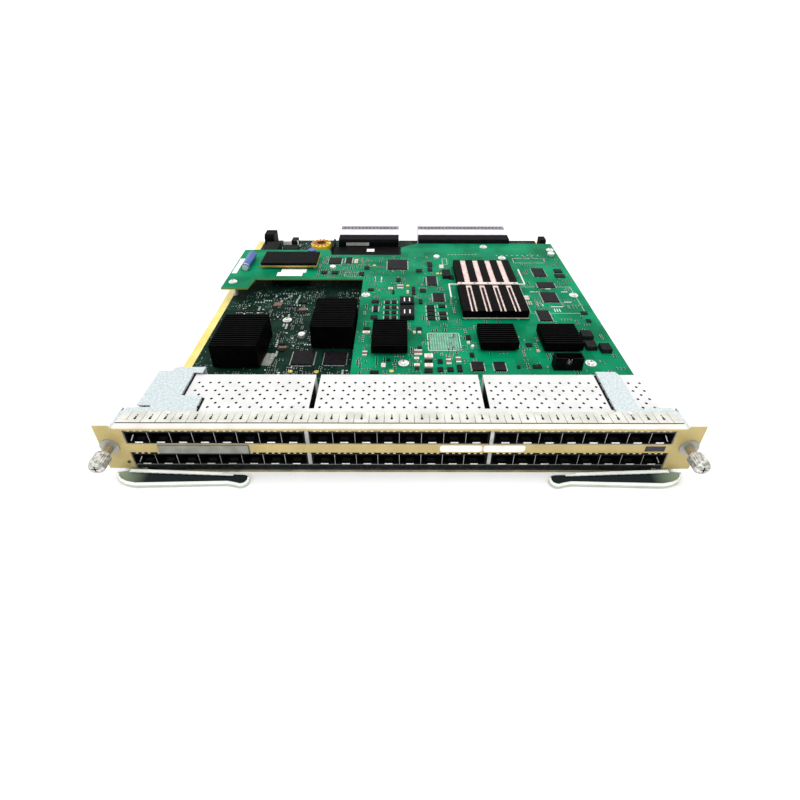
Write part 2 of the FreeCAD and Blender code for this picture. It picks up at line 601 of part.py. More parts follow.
# (x0, x1, y0, y1) of each sink
MAIN_SINKS = [(-157.0, -117.8, 104.9, 155.0), (-78.6, -40.8, 134.5, 185.4)]
MEZZ_SINKS = [(-23.6, 6.6, 105.4, 147.1), (67.8, 99.6, 110.6, 140.2),
              (MEZZ_HALF - 63.6, MEZZ_HALF - 31.3, 109.4, 140.2)]
MAIN_SINK_H = 24.6
MEZZ_SINK_H = 9.6


def finned_sink(x0, x1, y0, y1, level, height):
    """A black extrusion: a base with thin fins that run across the card."""
    bottom = level + PACKAGE_T
    block = box(x0, x1, y0, y1, bottom, level + height)
    gaps = int((y1 - y0 - FIN_T) / FIN_PITCH)
    pitch = (y1 - y0 - FIN_T) / gaps
    cuts = [box(x0 - 1, x1 + 1, y0 + FIN_T + i * pitch, y0 + (i + 1) * pitch, bottom + SINK_BASE_T,
                level + height + 1) for i in range(gaps)]
    return block.cut(Part.makeCompound(cuts))


def packages():
    """The chip packages under the five plain heat sinks."""
    out = []
    for sinks, level in ((MAIN_SINKS, BOARD_TOP), (MEZZ_SINKS, MEZZ_TOP)):
        for x0, x1, y0, y1 in sinks:
            cx, cy = (x0 + x1) / 2, (y0 + y1) / 2
            half = min(x1 - x0, y1 - y0) / 2 - 1.5
            out.append(box(cx - half, cx + half, cy - half, cy + half, level, level + PACKAGE_T))
    return out


PROC_X = (58.4, 119.0)
PROC_Y = (162.6, 273.4)
PROC_TOP = MEZZ_TOP + 9.5
PROC_SUBSTRATE_T = 1.9
PROC_RAIL_W = 7.4
PROC_GROOVE_D = 1.3
PROC_WAIST_Y = (214.4, 221.2)
CLIP_T = 2.2
CLIP_BAR_D = 4.4
CLIP_ARM = 1.3
CLIP_LEFT = (9.5, 26.0)     # how far the left arm reaches outwards and forwards
CLIP_RIGHT = (7.5, 33.0)    # how far the right arm reaches outwards and backwards


def processor_substrate():
    return box(PROC_X[0] - 0.8, PROC_X[1] + 0.8, PROC_Y[0] - 1.2, PROC_Y[1] + 1.2, MEZZ_TOP,
               MEZZ_TOP + PROC_SUBSTRATE_T)


def processor_heatsink():
    """Five black rails with pale channels between them, and a waist where the clip lies."""
    x0, x1 = PROC_X
    y0, y1 = PROC_Y
    rails = 5
    step = (x1 - x0 - PROC_RAIL_W) / (rails - 1)
    block = box(x0, x1, y0, y1, MEZZ_TOP + PROC_SUBSTRATE_T, PROC_TOP)
    cuts = [box(x0 + PROC_RAIL_W + i * step, x0 + (i + 1) * step, y0 - 1, y1 + 1,
                PROC_TOP - PROC_GROOVE_D, PROC_TOP + 1) for i in range(rails - 1)]
    cuts.append(box(x0 - 1, x1 + 1, PROC_WAIST_Y[0], PROC_WAIST_Y[1], PROC_TOP - PROC_GROOVE_D - 1,
                    PROC_TOP + 1))
    return block.cut(Part.makeCompound(cuts))


def processor_clip():
    """A flat bar in the waist with one wire arm forwards at the left and one backwards at the right."""
    x0, x1 = PROC_X
    ym = (PROC_WAIST_Y[0] + PROC_WAIST_Y[1]) / 2
    z = PROC_TOP - PROC_GROOVE_D - 1
    bar = box(x0, x1, ym - CLIP_BAR_D / 2, ym + CLIP_BAR_D / 2, z, z + CLIP_T)
    t = CLIP_ARM
    out, reach = CLIP_LEFT
    left = [box(x0 - out, x0 + 0.5, ym - t / 2, ym + t / 2, z, z + t),
            box(x0 - out, x0 - out + t, ym - reach, ym + t / 2, z, z + t),
            box(x0 - out, x0 - out + t, ym - reach - t, ym - reach, MEZZ_TOP, z + t)]
    out, reach = CLIP_RIGHT
    right = [box(x1 - 0.5, x1 + out, ym - t / 2, ym + t / 2, z, z + t),
             box(x1 + out - t, x1 + out, ym - t / 2, ym + reach, z, z + t),
             box(x1 + out - t, x1 + out, ym + reach, ym + reach + t, MEZZ_TOP, z + t)]
    return join([bar] + left + right)


# ---- other parts on the boards ---------------------------------------------------------------
# (x0, x1, y0, y1, height) of the flat packages on the upper board
FLAT_CHIPS = [(-13.8, 8.3, MEZZ_REAR_Y - 74.2, MEZZ_REAR_Y - 50.6, 1.5), (28.6, 38.8, 229.6, 250.4, 1.3),
              (33.0, 44.2, 195.5, 212.0, 1.3), (MEZZ_HALF - 39.9, MEZZ_HALF - 26.9, 250.4, 270.0, 1.3),
              (MEZZ_HALF - 41.4, MEZZ_HALF - 24.1, 224.8, 236.2, 1.3),
              (MEZZ_HALF - 42.9, MEZZ_HALF - 27.9, 194.4, 214.0, 1.3),
              (129.5, 140.8, 159.0, 177.8, 1.3), (58.0, 67.4, 82.8, 94.1, 1.8),
              (76.0, 84.8, 82.8, 94.1, 1.8)]
MAIN_CHIPS = [(-93.5, -74.5, 110.6, 131.0, 1.8), (-65.6, -46.3, 111.2, 129.4, 1.8)]
CHOKES = [(0.2, 13.6, 161.0, 180.1, 5.2), (0.2, 13.8, 184.9, 197.7, 5.2),
          (MEZZ_HALF - 25.8, MEZZ_HALF - 16.4, 128.0, 138.0, 4.2),
          (MEZZ_HALF - 27.0, MEZZ_HALF - 18.4, 112.0, 122.0, 4.2),
          (MEZZ_HALF - 15.8, MEZZ_HALF - 7.4, 108.0, 118.0, 4.2), (45.6, 54.0, 246.0, 262.0, 3.6)]


def flat_parts(places, level):
    return [box(x0, x1, y0, y1, level, level + h) for x0, x1, y0, y1, h in places]


BRICK = (-153.4, -91.4, WING_FRONT_Y + 22.7, WING_FRONT_Y + 55.9)
BRICK_LEG_H = 2.6
BRICK_BOARD_T = 1.7
BRICK_H = 7.2
BRICK_PIN = 2.0


def power_module_board():
    """The converter's own small board, held off the upper board by its pins."""
    x0, x1, y0, y1 = BRICK
    z = MEZZ_TOP + BRICK_LEG_H
    board = box(x0, x1, y0, y1, z, z + BRICK_BOARD_T)
    pins = [box(x, x + BRICK_PIN, y, y + BRICK_PIN, MEZZ_TOP, z + 0.1)
            for x in (x0 + 2, x1 - 2 - BRICK_PIN) for y in (y0 + 3, (y0 + y1) / 2, y1 - 3 - BRICK_PIN)]
    return join([board] + pins)


def power_module_core():
    x0, x1, y0, y1 = BRICK
    z = MEZZ_TOP + BRICK_LEG_H + BRICK_BOARD_T
    return box(x0 + 0.5, x1 - 0.5, y0 + 1.0, y1 - 1.0, z, MEZZ_TOP + BRICK_H)


HEADER = (122.6, 145.0, 84.3, 92.6)
HEADER_H = 11.8
HEADER_WALL = 1.0


def box_header():
    """A shrouded pin header: an open box with a key notch and two rows of pins."""
    x0, x1, y0, y1 = HEADER
    top = MEZZ_TOP + HEADER_H
    body = box(x0, x1, y0, y1, MEZZ_TOP, top)
    well = box(x0 + HEADER_WALL, x1 - HEADER_WALL, y0 + HEADER_WALL, y1 - HEADER_WALL, MEZZ_TOP + 3, top + 1)
    key = box((x0 + x1) / 2 - 2.2, (x0 + x1) / 2 + 2.2, y0 - 1, y0 + 2, MEZZ_TOP + 5, top + 1)
    pins = [box(x0 + 4.5 + 2.54 * i, x0 + 5.1 + 2.54 * i, y, y + 0.6, MEZZ_TOP + 2.9, top - 4.8)
            for i in range(6) for y in (y0 + 2.6, y0 + 5.1)]
    return join([body.cut(Part.makeCompound([well, key]))] + pins)


TOROID_AT = (-99.5, BOARD_REAR_Y - 28.3)
TOROID_R = 12.6
TOROID_HOLE_R = 5.2
TOROID_H = 9.0


def toroid_inductor():
    x, y = TOROID_AT
    body = ring_of(18, TOROID_R, x, y, BOARD_TOP, BOARD_TOP + TOROID_H)
    return body.cut(ring_of(12, TOROID_HOLE_R, x, y, BOARD_TOP - 1, BOARD_TOP + TOROID_H + 1))


BLUE_CAN_R = 4.4
BLUE_CAN_X = 15.4 - MEZZ_HALF
BLUE_CAN_Y = (WING_FRONT_Y + 18.7, WING_FRONT_Y + 53.1)


def blue_capacitor():
    """A can lying on the upper board, with a flat where the sleeve meets the board."""
    can = rod(BLUE_CAN_R, BLUE_CAN_X, MEZZ_TOP + BLUE_CAN_R - 0.3, *BLUE_CAN_Y)
    under = box(BLUE_CAN_X - BLUE_CAN_R, BLUE_CAN_X + BLUE_CAN_R, *BLUE_CAN_Y, MEZZ_TOP - 1, MEZZ_TOP)
    return can.cut(under)


DISC_R = 4.6
DISC_H = 3.2
DISC_AT = (-104.0, WING_REAR_Y - 6.5)


def disc_capacitor():
    return ring_of(12, DISC_R, *DISC_AT, MEZZ_TOP, MEZZ_TOP + DISC_H)


# (x0, x1, from and to in front of the board's rear edge, height) of the wound parts' cores
COILS = [(10.5 - BOARD_HALF, 27.0 - BOARD_HALF, 60.8, 28.8, 10.0), (-139.4, -132.0, 16.8, 3.8, 6.0),
         (-147.2, -128.5, 35.8, 22.8, 3.4), (-84.5, -82.3, 41.8, 15.8, 8.5)]
COIL_BLOCKS = [(x0, x1, BOARD_REAR_Y - y0, BOARD_REAR_Y - y1, h) for x0, x1, y0, y1, h in COILS]


GUIDE_X = (4.4 - BOARD_HALF, 16.8 - BOARD_HALF)
GUIDE_Y = (BOARD_REAR_Y - 19.8, BOARD_REAR_Y + 1.6)
GUIDE_H = 14.8
GUIDE_PIN_R = 2.6
GUIDE_DEEP = 15.0
STOP_BLOCK = (BOARD_HALF - 2.4, BOARD_HALF + 5.2, BOARD_REAR_Y - 33.8, BOARD_REAR_Y - 21.3)
STOP_H = 14.6


def guide_blocks():
    """A moulded socket for the backplane's guide pin, and a plain block at the other corner."""
    y0, y1 = GUIDE_Y
    top = BOARD_TOP + GUIDE_H
    left = side([(y0, BOARD_TOP), (y1, BOARD_TOP), (y1, top - 1.4), (y1 - 2.8, top), (y0 + 3, top),
                 (y0, top - 4)], *GUIDE_X)
    x = sum(GUIDE_X) / 2
    z = BOARD_TOP + GUIDE_H / 2
    way = rod(GUIDE_PIN_R, x, z, y1 - GUIDE_DEEP, y1 + 1)
    return [left.cut(way), box(*STOP_BLOCK, BOARD_TOP, BOARD_TOP + STOP_H)]


# ---- backplane connectors --------------------------------------------------------------------
BUS_LEFT = (-75.2, -1.6)
BUS_RIGHT = (22.6, 134.0)
BUS_REAR_Y = BOARD_REAR_Y + 3.0
BUS_COMB_Y = BUS_REAR_Y - 10.8
BUS_MID_Y = BUS_COMB_Y - 19.2
BUS_FRONT_Y = BUS_MID_Y - 17.4
BUS_H = 18.7
COMB_PITCH = 4.6
COMB_SLOT_W = 1.8
BUS_PLINTH = (-80.0, -0.4, BAY_REAR_Y + 2.0, BUS_FRONT_Y - 2.4)
BUS_PLINTH_H = 11.0


def bus_housing(x0, x1):
    """The black housing on the board."""
    section = [(BUS_FRONT_Y, BOARD_TOP), (BUS_MID_Y, BOARD_TOP), (BUS_MID_Y, BOARD_TOP + BUS_H),
               (BUS_FRONT_Y + 2, BOARD_TOP + BUS_H), (BUS_FRONT_Y, BOARD_TOP + BUS_H - 3)]
    return side(section, x0, x1)


def bus_insulator(x0, x1):
    return box(x0, x1, BUS_MID_Y, BUS_COMB_Y, BOARD_TOP, BOARD_TOP + BUS_H)


def bus_comb(x0, x1):
    """The mating face: a row of thin ribs, open to the rear, that carry the contacts."""
    body = box(x0, x1, BUS_COMB_Y, BUS_REAR_Y, BOARD_TOP, BOARD_TOP + BUS_H)
    count = int((x1 - x0 - COMB_SLOT_W) / COMB_PITCH)
    first = (x0 + x1) / 2 - (count - 1) * COMB_PITCH / 2
    slots = [box(first + i * COMB_PITCH - COMB_SLOT_W / 2, first + i * COMB_PITCH + COMB_SLOT_W / 2,
                 BUS_COMB_Y + 2.4, BUS_REAR_Y + 1, BOARD_TOP + 2, BOARD_TOP + BUS_H + 1)
             for i in range(count)]
    return body.cut(Part.makeCompound(slots))


# ---- ejector levers --------------------------------------------------------------------------
def lever_outline():
    """Plan of the right lever's blade: a pointed outer end, straight sides and a round finger bulb."""
    r = LEVER_BULB_R
    tip = LEVER_TIP_X + r
    bulb_y = -10.4
    bulb = [(tip - r * math.sin(a), bulb_y - r * math.cos(a)) for a in
            (math.pi * i / BULB_SIDES for i in range(BULB_SIDES + 1))]
    point = (LEVER_POINT_X, -3.1)
    shoulder = [(LEVER_POINT_X - 2.1, -7.6), (LEVER_POINT_X - 5.6, -11.2), (LEVER_POINT_X - 10.6, -13.6)]
    outline = ([point] + shoulder + [(LEVER_POINT_X - 16.8, -14.9), (tip + 8.9, -13.2), (tip + 4.4, -14.1)]
               + bulb + [(PIVOT_X - 2.0, -2.2), point])
    return Part.makePolygon([V(x, y, 0) for x, y in outline])


def lever():
    outline = lever_outline()
    blade = Part.Face(outline).extrude(V(0, 0, LEVER_ROOT_H))
    inner = Part.Face(outline).makeOffset2D(-LEVER_WALL_T, join=2)
    room = inner.extrude(V(0, 0, LEVER_ROOT_H))
    room.translate(V(0, 0, LEVER_T))
    top = LEVER_ROOT_H + 1
    # the wall's top edge falls towards the tip and drops to a low lip at the outer end
    slope = side_on([(LEVER_TIP_X - 1, LEVER_TIP_H), (LEVER_FULL_WALL_X, LEVER_ROOT_H),
                     (LEVER_FULL_WALL_X + 2.2, LEVER_T + LEVER_LIP_H), (LEVER_POINT_X + 1, LEVER_T + 0.2),
                     (LEVER_POINT_X + 1, top), (LEVER_TIP_X - 1, top)])
    rear_start = box(PIVOT_X - 2.7, LEVER_POINT_X + 1, -4.6, 1, LEVER_T, top)
    rear_end = box(LEVER_TIP_X - 1, LEVER_TIP_X + 18.5, -8.8, 1, LEVER_T, top)
    blade = blade.cut(Part.makeCompound([room, slope, rear_start, rear_end]))
    neck = plan([(PIVOT_X - 12, -3.0), (PIVOT_X - 0.4, -3.0), (PIVOT_X - 1.3, 0.2),
                 (PIVOT_X + 3.0, 3.0), (PIVOT_X - 3.6, 6.0)], 0, LEVER_T)
    eye = ring_of(14, EYE_R, PIVOT_X, PIVOT_Y, 0, LEVER_T)
    solid = join([blade, neck, eye]).cut(post(PIVOT_R + RUN_GAP, PIVOT_X, PIVOT_Y, -1, 9))
    solid.translate(V(0, 0, LEVER_Z))
    return solid


def side_on(points):
    """A prism along Y on an outline in X and Z, long enough to pass a whole lever."""
    return prism([(x, -20.0, z) for x, z in points], (0, 25.0, 0))


def lever_pivot():
    """A rivet from the bracket's foot through the lever's eye."""
    low = LEVER_Z - 0.5
    head = ring_of(12, 2 * PIVOT_R, PIVOT_X, PIVOT_Y, low, LEVER_Z - 0.1)
    shank = post(PIVOT_R, PIVOT_X, PIVOT_Y, LEVER_Z - 0.2, FOOT_Z + BRACKET_T + 0.1)
    cap = ring_of(10, PIVOT_R + 0.5, PIVOT_X, PIVOT_Y, FOOT_Z + BRACKET_T, FOOT_Z + BRACKET_T + 0.6)
    return join([head, shank, cap])


# ---- captive thumbscrews ---------------------------------------------------------------------
def ferrule():
    """A pressed-in sleeve: a flange on the panel's face, a neck in front and a spring well inside."""
    y = -PANEL_T
    flange = rod_of(16, FERRULE_FLANGE_R, SCREW_X, SCREW_Z, y - FERRULE_FLANGE_T, y)
    neck = rod_of(12, FERRULE_R, SCREW_X, SCREW_Z, FERRULE_FRONT_Y, y)
    body = rod_of(12, FERRULE_BODY_R, SCREW_X, SCREW_Z, y - 0.1, 0)
    sleeve = join([flange, neck, body])
    guide = rod(THREAD_R + RUN_GAP, SCREW_X, SCREW_Z, FERRULE_FRONT_Y, 1)
    well = rod_of(12, SPRING_R + SPRING_WIRE, SCREW_X, SCREW_Z, FERRULE_FRONT_Y - 1, SPRING_REAR_Y)
    return sleeve.cut(Part.makeCompound([guide, well]))


def thumbscrew():
    """A knurled cap with a hollow skirt, a crossed recess, and a grooved shank."""
    front = HEAD_REAR_Y - HEAD_L
    step = 2 * math.pi / KNURL_COUNT
    rim = []
    for i in range(KNURL_COUNT):
        for turn, radius in ((0.0, HEAD_R), (0.5, HEAD_R - KNURL_DEPTH)):
            a = (i + turn) * step
            rim.append((SCREW_X + radius * math.cos(a), HEAD_REAR_Y, SCREW_Z + radius * math.sin(a)))
    knob = prism(rim, (0, -HEAD_L + 1.2, 0))
    crown = rod_of(KNURL_COUNT, HEAD_R - KNURL_DEPTH, SCREW_X, SCREW_Z, front, front + 1.3)
    bore = rod_of(12, HEAD_BORE_R, SCREW_X, SCREW_Z, HEAD_REAR_Y - HEAD_BORE_L, HEAD_REAR_Y + 1)
    arm, deep = 3.2, 2.2
    cross = [box(SCREW_X - arm, SCREW_X + arm, front - 1, front + deep, SCREW_Z - 0.5, SCREW_Z + 0.5),
             box(SCREW_X - 0.5, SCREW_X + 0.5, front - 1, front + deep, SCREW_Z - arm, SCREW_Z + arm)]
    shank = rod(THREAD_R, SCREW_X, SCREW_Z, HEAD_REAR_Y - HEAD_BORE_L - 0.5, THREAD_END_Y)
    groove = rod(THREAD_R + 1, SCREW_X, SCREW_Z, SEAT_GAP - 0.1, SEAT_GAP + RING_T + 0.1).cut(
        rod(THREAD_R - GROOVE_DEPTH, SCREW_X, SCREW_Z, SEAT_GAP - 1, SEAT_GAP + RING_T + 1))
    head = join([knob, crown]).cut(Part.makeCompound([bore] + cross))
    return join([head, shank.cut(groove)])


def retaining_ring():
    """A slotted ring in the shank's groove, which keeps the screw in its ferrule."""
    outer = rod_of(12, RING_R, SCREW_X, SCREW_Z, SEAT_GAP, SEAT_GAP + RING_T)
    inner = rod_of(12, THREAD_R - GROOVE_DEPTH + 0.1, SCREW_X, SCREW_Z, -1, 3)
    gap = box(SCREW_X - 0.8, SCREW_X + 0.8, -1, 3, SCREW_Z, SCREW_Z + 5)
    return outer.cut(Part.makeCompound([inner, gap]))


def screw_spring():
    """A coil of square wire between the ferrule's well and the inside of the head."""
    y0, y1 = HEAD_REAR_Y - HEAD_BORE_L, SPRING_REAR_Y
    w = SPRING_WIRE
    turns, per_turn = 4, 6
    count = turns * per_turn
    rise = (y1 - y0 - w) / count
    half = w / 2
    links = []
    for i in range(count):
        quad = []
        for k in (i, i + 1):
            a = 2 * math.pi * k / per_turn
            y = y0 + half + rise * k
            c, s = math.cos(a), math.sin(a)
            quad.append(Part.makePolygon([V(SCREW_X + r * c, yy, SCREW_Z + r * s) for r, yy in (
                (SPRING_R - half, y - half), (SPRING_R + half, y - half), (SPRING_R + half, y + half),
                (SPRING_R - half, y + half), (SPRING_R - half, y - half))]))
        links.append(quad)
    wires = [q[0] for q in links] + [links[-1][1]]
    return Part.makeLoft(wires, True, True)


# ---- write every node ------------------------------------------------------------------------
os.makedirs("parts", exist_ok=True)

save("carrier_tray", carrier_tray())
save("faceplate", faceplate())
save("status_led", status_led())
save("label_plate", label_plate())
save("gasket_strip", gasket_strip())
save("left_bracket", left_bracket())
save("right_bracket", right_bracket())
for cage_name, cage_x in zip(CAGE_NAMES, CAGE_CENTRES):
    save("cage_" + cage_name + "_shell", cage_shell(cage_x))
    save("cage_" + cage_name + "_cover", cage_cover(cage_x))
    save("cage_" + cage_name + "_shelf", cage_shelf(cage_x))
    save("cage_" + cage_name + "_dividers", cage_dividers(cage_x))
    save("cage_" + cage_name + "_sockets", cage_sockets(cage_x))
save("main_board", main_board())
save("mezzanine_board", mezzanine_board())
save("board_standoffs", board_standoffs())
save("board_screws", board_screws())
save("link_sockets", link_sockets())
save("link_plugs", link_plugs())
save("main_heatsinks", [finned_sink(*at, BOARD_TOP, MAIN_SINK_H) for at in MAIN_SINKS])
save("mezzanine_heatsinks", [finned_sink(*at, MEZZ_TOP, MEZZ_SINK_H) for at in MEZZ_SINKS])
save("heatsink_packages", packages())
save("processor_substrate", processor_substrate())
save("processor_heatsink", processor_heatsink())
save("processor_clip", processor_clip())
save("mezzanine_chips", flat_parts(FLAT_CHIPS, MEZZ_TOP))
save("main_chips", flat_parts(MAIN_CHIPS, BOARD_TOP))
save("choke_blocks", flat_parts(CHOKES, MEZZ_TOP))
save("coil_blocks", flat_parts(COIL_BLOCKS, BOARD_TOP))
save("power_module_board", power_module_board())
save("power_module_core", power_module_core())
save("box_header", box_header())
save("toroid_inductor", toroid_inductor())
save("blue_capacitor", blue_capacitor())
save("disc_capacitor", disc_capacitor())
save("guide_blocks", guide_blocks())
save("bus_housings", [bus_housing(*BUS_LEFT), bus_housing(*BUS_RIGHT)])
save("bus_insulators", [bus_insulator(*BUS_LEFT), bus_insulator(*BUS_RIGHT)])
save("bus_combs", [bus_comb(*BUS_LEFT), bus_comb(*BUS_RIGHT)])
save("bus_plinth", box(*BUS_PLINTH, BOARD_TOP, BOARD_TOP + BUS_PLINTH_H))
save("panel_rivets", panel_rivets())
save_pair("lever", lever())
save("lever_pivots", [lever_pivot(), mirrored(lever_pivot())])
save("ferrules", [ferrule(), mirrored(ferrule())])
save_pair("thumbscrew", thumbscrew())
save_pair("retaining_ring", retaining_ring())
save_pair("screw_spring", screw_spring())
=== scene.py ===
# %% [markdown]
# # A switch line card, dressed in Blender
# The card slides into a network chassis: a folded steel tray carries two stacked circuit boards,
# and three double cages of ports look out through a punched front panel.  The CAD solids get
# their finishes here, and what is too small for them is added.

# %% Load the frame
import bmesh
import bpy
import math
import random
from mathutils import Matrix, Vector
from mathutils.bvhtree import BVHTree


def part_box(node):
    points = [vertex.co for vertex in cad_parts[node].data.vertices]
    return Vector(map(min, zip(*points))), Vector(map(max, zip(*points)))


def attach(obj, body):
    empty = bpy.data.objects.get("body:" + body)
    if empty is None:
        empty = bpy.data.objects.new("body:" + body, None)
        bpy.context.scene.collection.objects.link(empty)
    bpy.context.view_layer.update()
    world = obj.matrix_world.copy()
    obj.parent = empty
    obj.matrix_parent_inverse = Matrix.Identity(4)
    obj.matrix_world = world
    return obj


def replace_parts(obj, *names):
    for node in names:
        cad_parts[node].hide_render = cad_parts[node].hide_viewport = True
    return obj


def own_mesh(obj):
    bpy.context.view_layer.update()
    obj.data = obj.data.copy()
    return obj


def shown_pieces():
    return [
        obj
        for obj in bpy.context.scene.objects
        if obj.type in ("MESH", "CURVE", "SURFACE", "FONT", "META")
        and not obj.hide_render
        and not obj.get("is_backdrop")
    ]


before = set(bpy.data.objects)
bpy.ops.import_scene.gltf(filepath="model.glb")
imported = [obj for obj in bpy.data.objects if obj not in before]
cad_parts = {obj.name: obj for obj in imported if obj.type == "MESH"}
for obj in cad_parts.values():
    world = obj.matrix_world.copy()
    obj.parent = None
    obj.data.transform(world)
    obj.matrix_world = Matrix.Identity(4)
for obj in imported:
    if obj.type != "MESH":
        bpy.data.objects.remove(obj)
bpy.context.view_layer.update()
MM = 0.001

# %% [markdown]
# ## Levels and places
# Every new piece must sit on the solid that carries it.  Heights typed again would drift, so
# they are read from the boxes of the CAD nodes.  All places here are in millimetres.


# %% Read the levels from the solids
def corner_mm(node, high, axis):
    """One coordinate of a node's box, in millimetres."""
    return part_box(node)[1 if high else 0][axis] / MM


def in_mm(corners):
    """The two corners of a box, from metres to millimetres."""
    return [[c / MM for c in corner] for corner in corners]


UPPER = corner_mm("mezzanine_board", True, 2)
LOWER = corner_mm("main_board", True, 2)
CAGES = ["cage_left", "cage_middle", "cage_right"]
CAGE_X = [(corner_mm(name + "_shell", False, 0), corner_mm(name + "_shell", True, 0))
          for name in CAGES]
CAGE_TOP = corner_mm("cage_left_cover", True, 2)
CAGE_SIDE = 0.9     # both side walls of a cage
PORTS = 8           # side by side in a cage
PORT_PITCH = (CAGE_X[0][1] - CAGE_X[0][0] - CAGE_SIDE) / PORTS
LOWER_FLOOR = LOWER + 0.5   # under the lower row of ports
ROW_PITCH = 19.7    # from the lower row to the upper one
PORT_H = 8.7
LIP_H = 1.5         # the strip over a port that its spring fingers touch
PANEL_FRONT = -1.2  # the panel's face
BAND = (18.4, 25.8)     # its band between the two rows
INK, PAD = 0.04, 0.05   # how far prints and pads stand up
print("boards at", round(UPPER, 2), round(LOWER, 2), "port pitch", round(PORT_PITCH, 2))

# %% [markdown]
# ## Colour and nodes
# Finishes are quoted as screen colours, but the shaders work in linear light, so one function
# converts them.  The others add shader nodes and plug their inputs, which keeps every material
# below short enough to read as a recipe.


# %% Helpers for materials
def linear(code):
    """A linear colour from a hex screen colour."""
    parts = [int(code[i:i + 2], 16) / 255 for i in (1, 3, 5)]
    return [c / 12.92 if c <= 0.04045 else ((c + 0.055) / 1.055) ** 2.4 for c in parts] + [1.0]


def add(tree, kind, inputs=None, **settings):
    """A shader node with its settings and its inputs, which may be values or other sockets."""
    made = tree.nodes.new("ShaderNode" + kind)
    for name, value in settings.items():
        setattr(made, name, value)
    for name, value in (inputs or {}).items():
        if isinstance(value, bpy.types.NodeSocket):
            tree.links.new(value, made.inputs[name])
        else:
            made.inputs[name].default_value = value
    return made


def reckon(tree, operation, first, second=0.0):
    """The result of a Math node on values or sockets."""
    return add(tree, "Math", {0: first, 1: second}, operation=operation).outputs[0]


def blend(tree, factor, first, second, kind="MIX"):
    """The result of a colour mix, where the factor picks the second colour."""
    return add(tree, "Mix", {"Factor": factor, "A": first, "B": second}, data_type="RGBA",
               blend_type=kind).outputs["Result"]


def bench(material):
    """A finish's nodes, shader, colour so far and Object coordinates, to add to it."""
    tree = material.node_tree
    shader = tree.nodes["Principled BSDF"]
    colour = shader.inputs["Base Color"].links[0].from_socket
    return tree, shader, colour, add(tree, "TexCoord").outputs["Object"]


# %% [markdown]
# ## The basic finish
# Real surfaces are never one flat colour: plating has clouds and moulded plastic a fine grain.
# So every finish starts from two close colours that a noise mixes, and a bump with a grain of
# real size.  The noise reads Object coordinates, so the grain keeps its size on every piece.


# %% A finish with cloud and grain
CLOUD_EDGES = (0.35, 0.65)  # noise that counts as all dark and all light
SPREAD = 0.08       # how far roughness strays
GRAIN_H = 0.05      # height of the grain


def clouded(name, dark, light, cloud_mm, grain_mm, roughness, metallic, bump, shine=0.5):
    """Two close colours in clouds, a spread of roughness with them, and a fine raised grain."""
    material = bpy.data.materials.new(name)
    material.use_nodes = True
    tree = material.node_tree
    shader = tree.nodes["Principled BSDF"]
    place = add(tree, "TexCoord").outputs["Object"]
    cloud = add(tree, "TexNoise", {"Vector": place, "Scale": 1 / (cloud_mm * MM), "Detail": 3.0})
    grain = add(tree, "TexNoise", {"Vector": place, "Scale": 1 / (grain_mm * MM), "Detail": 2.0})
    contrast = add(tree, "MapRange", {"Value": cloud.outputs["Fac"], "From Min": CLOUD_EDGES[0],
                                      "From Max": CLOUD_EDGES[1]})
    colour = blend(tree, contrast.outputs["Result"], linear(dark), linear(light))
    wear = add(tree, "MapRange", {"Value": grain.outputs["Fac"], "To Min": roughness - SPREAD,
                                  "To Max": roughness + SPREAD})
    raised = add(tree, "Bump", {"Height": grain.outputs["Fac"], "Strength": bump,
                                "Distance": GRAIN_H * MM})
    tree.links.new(colour, shader.inputs["Base Color"])
    tree.links.new(wear.outputs["Result"], shader.inputs["Roughness"])
    tree.links.new(raised.outputs["Normal"], shader.inputs["Normal"])
    shader.inputs["Metallic"].default_value = metallic
    shader.inputs["Specular IOR Level"].default_value = shine
    return material


# %% [markdown]
# ## Plated, moulded and painted finishes
# The tray is steel with a yellow chromate film, and its brackets have a spangled zinc coat.
# Connectors and chips are filled plastic, dull and black, so their shine is turned well down.
# Each recipe is one call, so finishes of one family differ only in what the eye tells apart.

# %% The plain finishes
chromate_tray = clouded("chromate_tray", "#e0c968", "#f2df8e", 18.0, 0.6, 0.40, 0.35, 0.12)
zinc_bracket = clouded("zinc_bracket", "#aeb8ba", "#c9d2d4", 1.6, 0.8, 0.45, 0.2, 0.1, 0.3)
spring_bronze = clouded("spring_bronze", "#bfbeb5", "#d3d2ca", 9.0, 0.4, 0.45, 0.2, 0.1, 0.3)
machined_steel = clouded("machined_steel", "#85847e", "#dddbd4", 2.2, 0.25, 0.35, 0.55, 0.1)
# Painted shade: the chromate as it looks in shade, for the tray's lip.
painted_shade_chromate = clouded("painted_shade_chromate", "#6f6c4c", "#96926f", 14.0, 0.4, 0.5, 0.1, 0.1, 0.2)
silver_post = clouded("silver_post", "#90908d", "#b9b9b6", 6.0, 0.3, 0.4, 0.3, 0.08)
straw_film = clouded("straw_film", "#d8c489", "#eedfb4", 3.0, 0.3, 0.5, 0.1, 0.05)
comb_shadow = clouded("comb_shadow", "#3c3940", "#4b474f", 4.0, 0.3, 0.6, 0.0, 0.1, 0.1)
bright_tin = clouded("bright_tin", "#d8d8d6", "#f2f2f0", 3.0, 0.2, 0.30, 0.6, 0.08)
moulded_black = clouded("moulded_black", "#050506", "#0c0d0e", 6.0, 0.25, 0.6, 0.0, 0.2, 0.04)
moulded_chip = clouded("moulded_chip", "#0f0d11", "#1c191d", 3.0, 0.12, 0.55, 0.0, 0.2, 0.08)
anodised_black = clouded("anodised_black", "#020202", "#070707", 8.0, 0.3, 0.45, 0.0, 0.15, 0.02)
moulded_white = clouded("moulded_white", "#d3cdd8", "#e2dde6", 8.0, 0.3, 0.5, 0.0, 0.1, 0.2)
moulded_grey = clouded("moulded_grey", "#77727d", "#8f8a95", 7.0, 0.3, 0.5, 0.0, 0.15, 0.2)
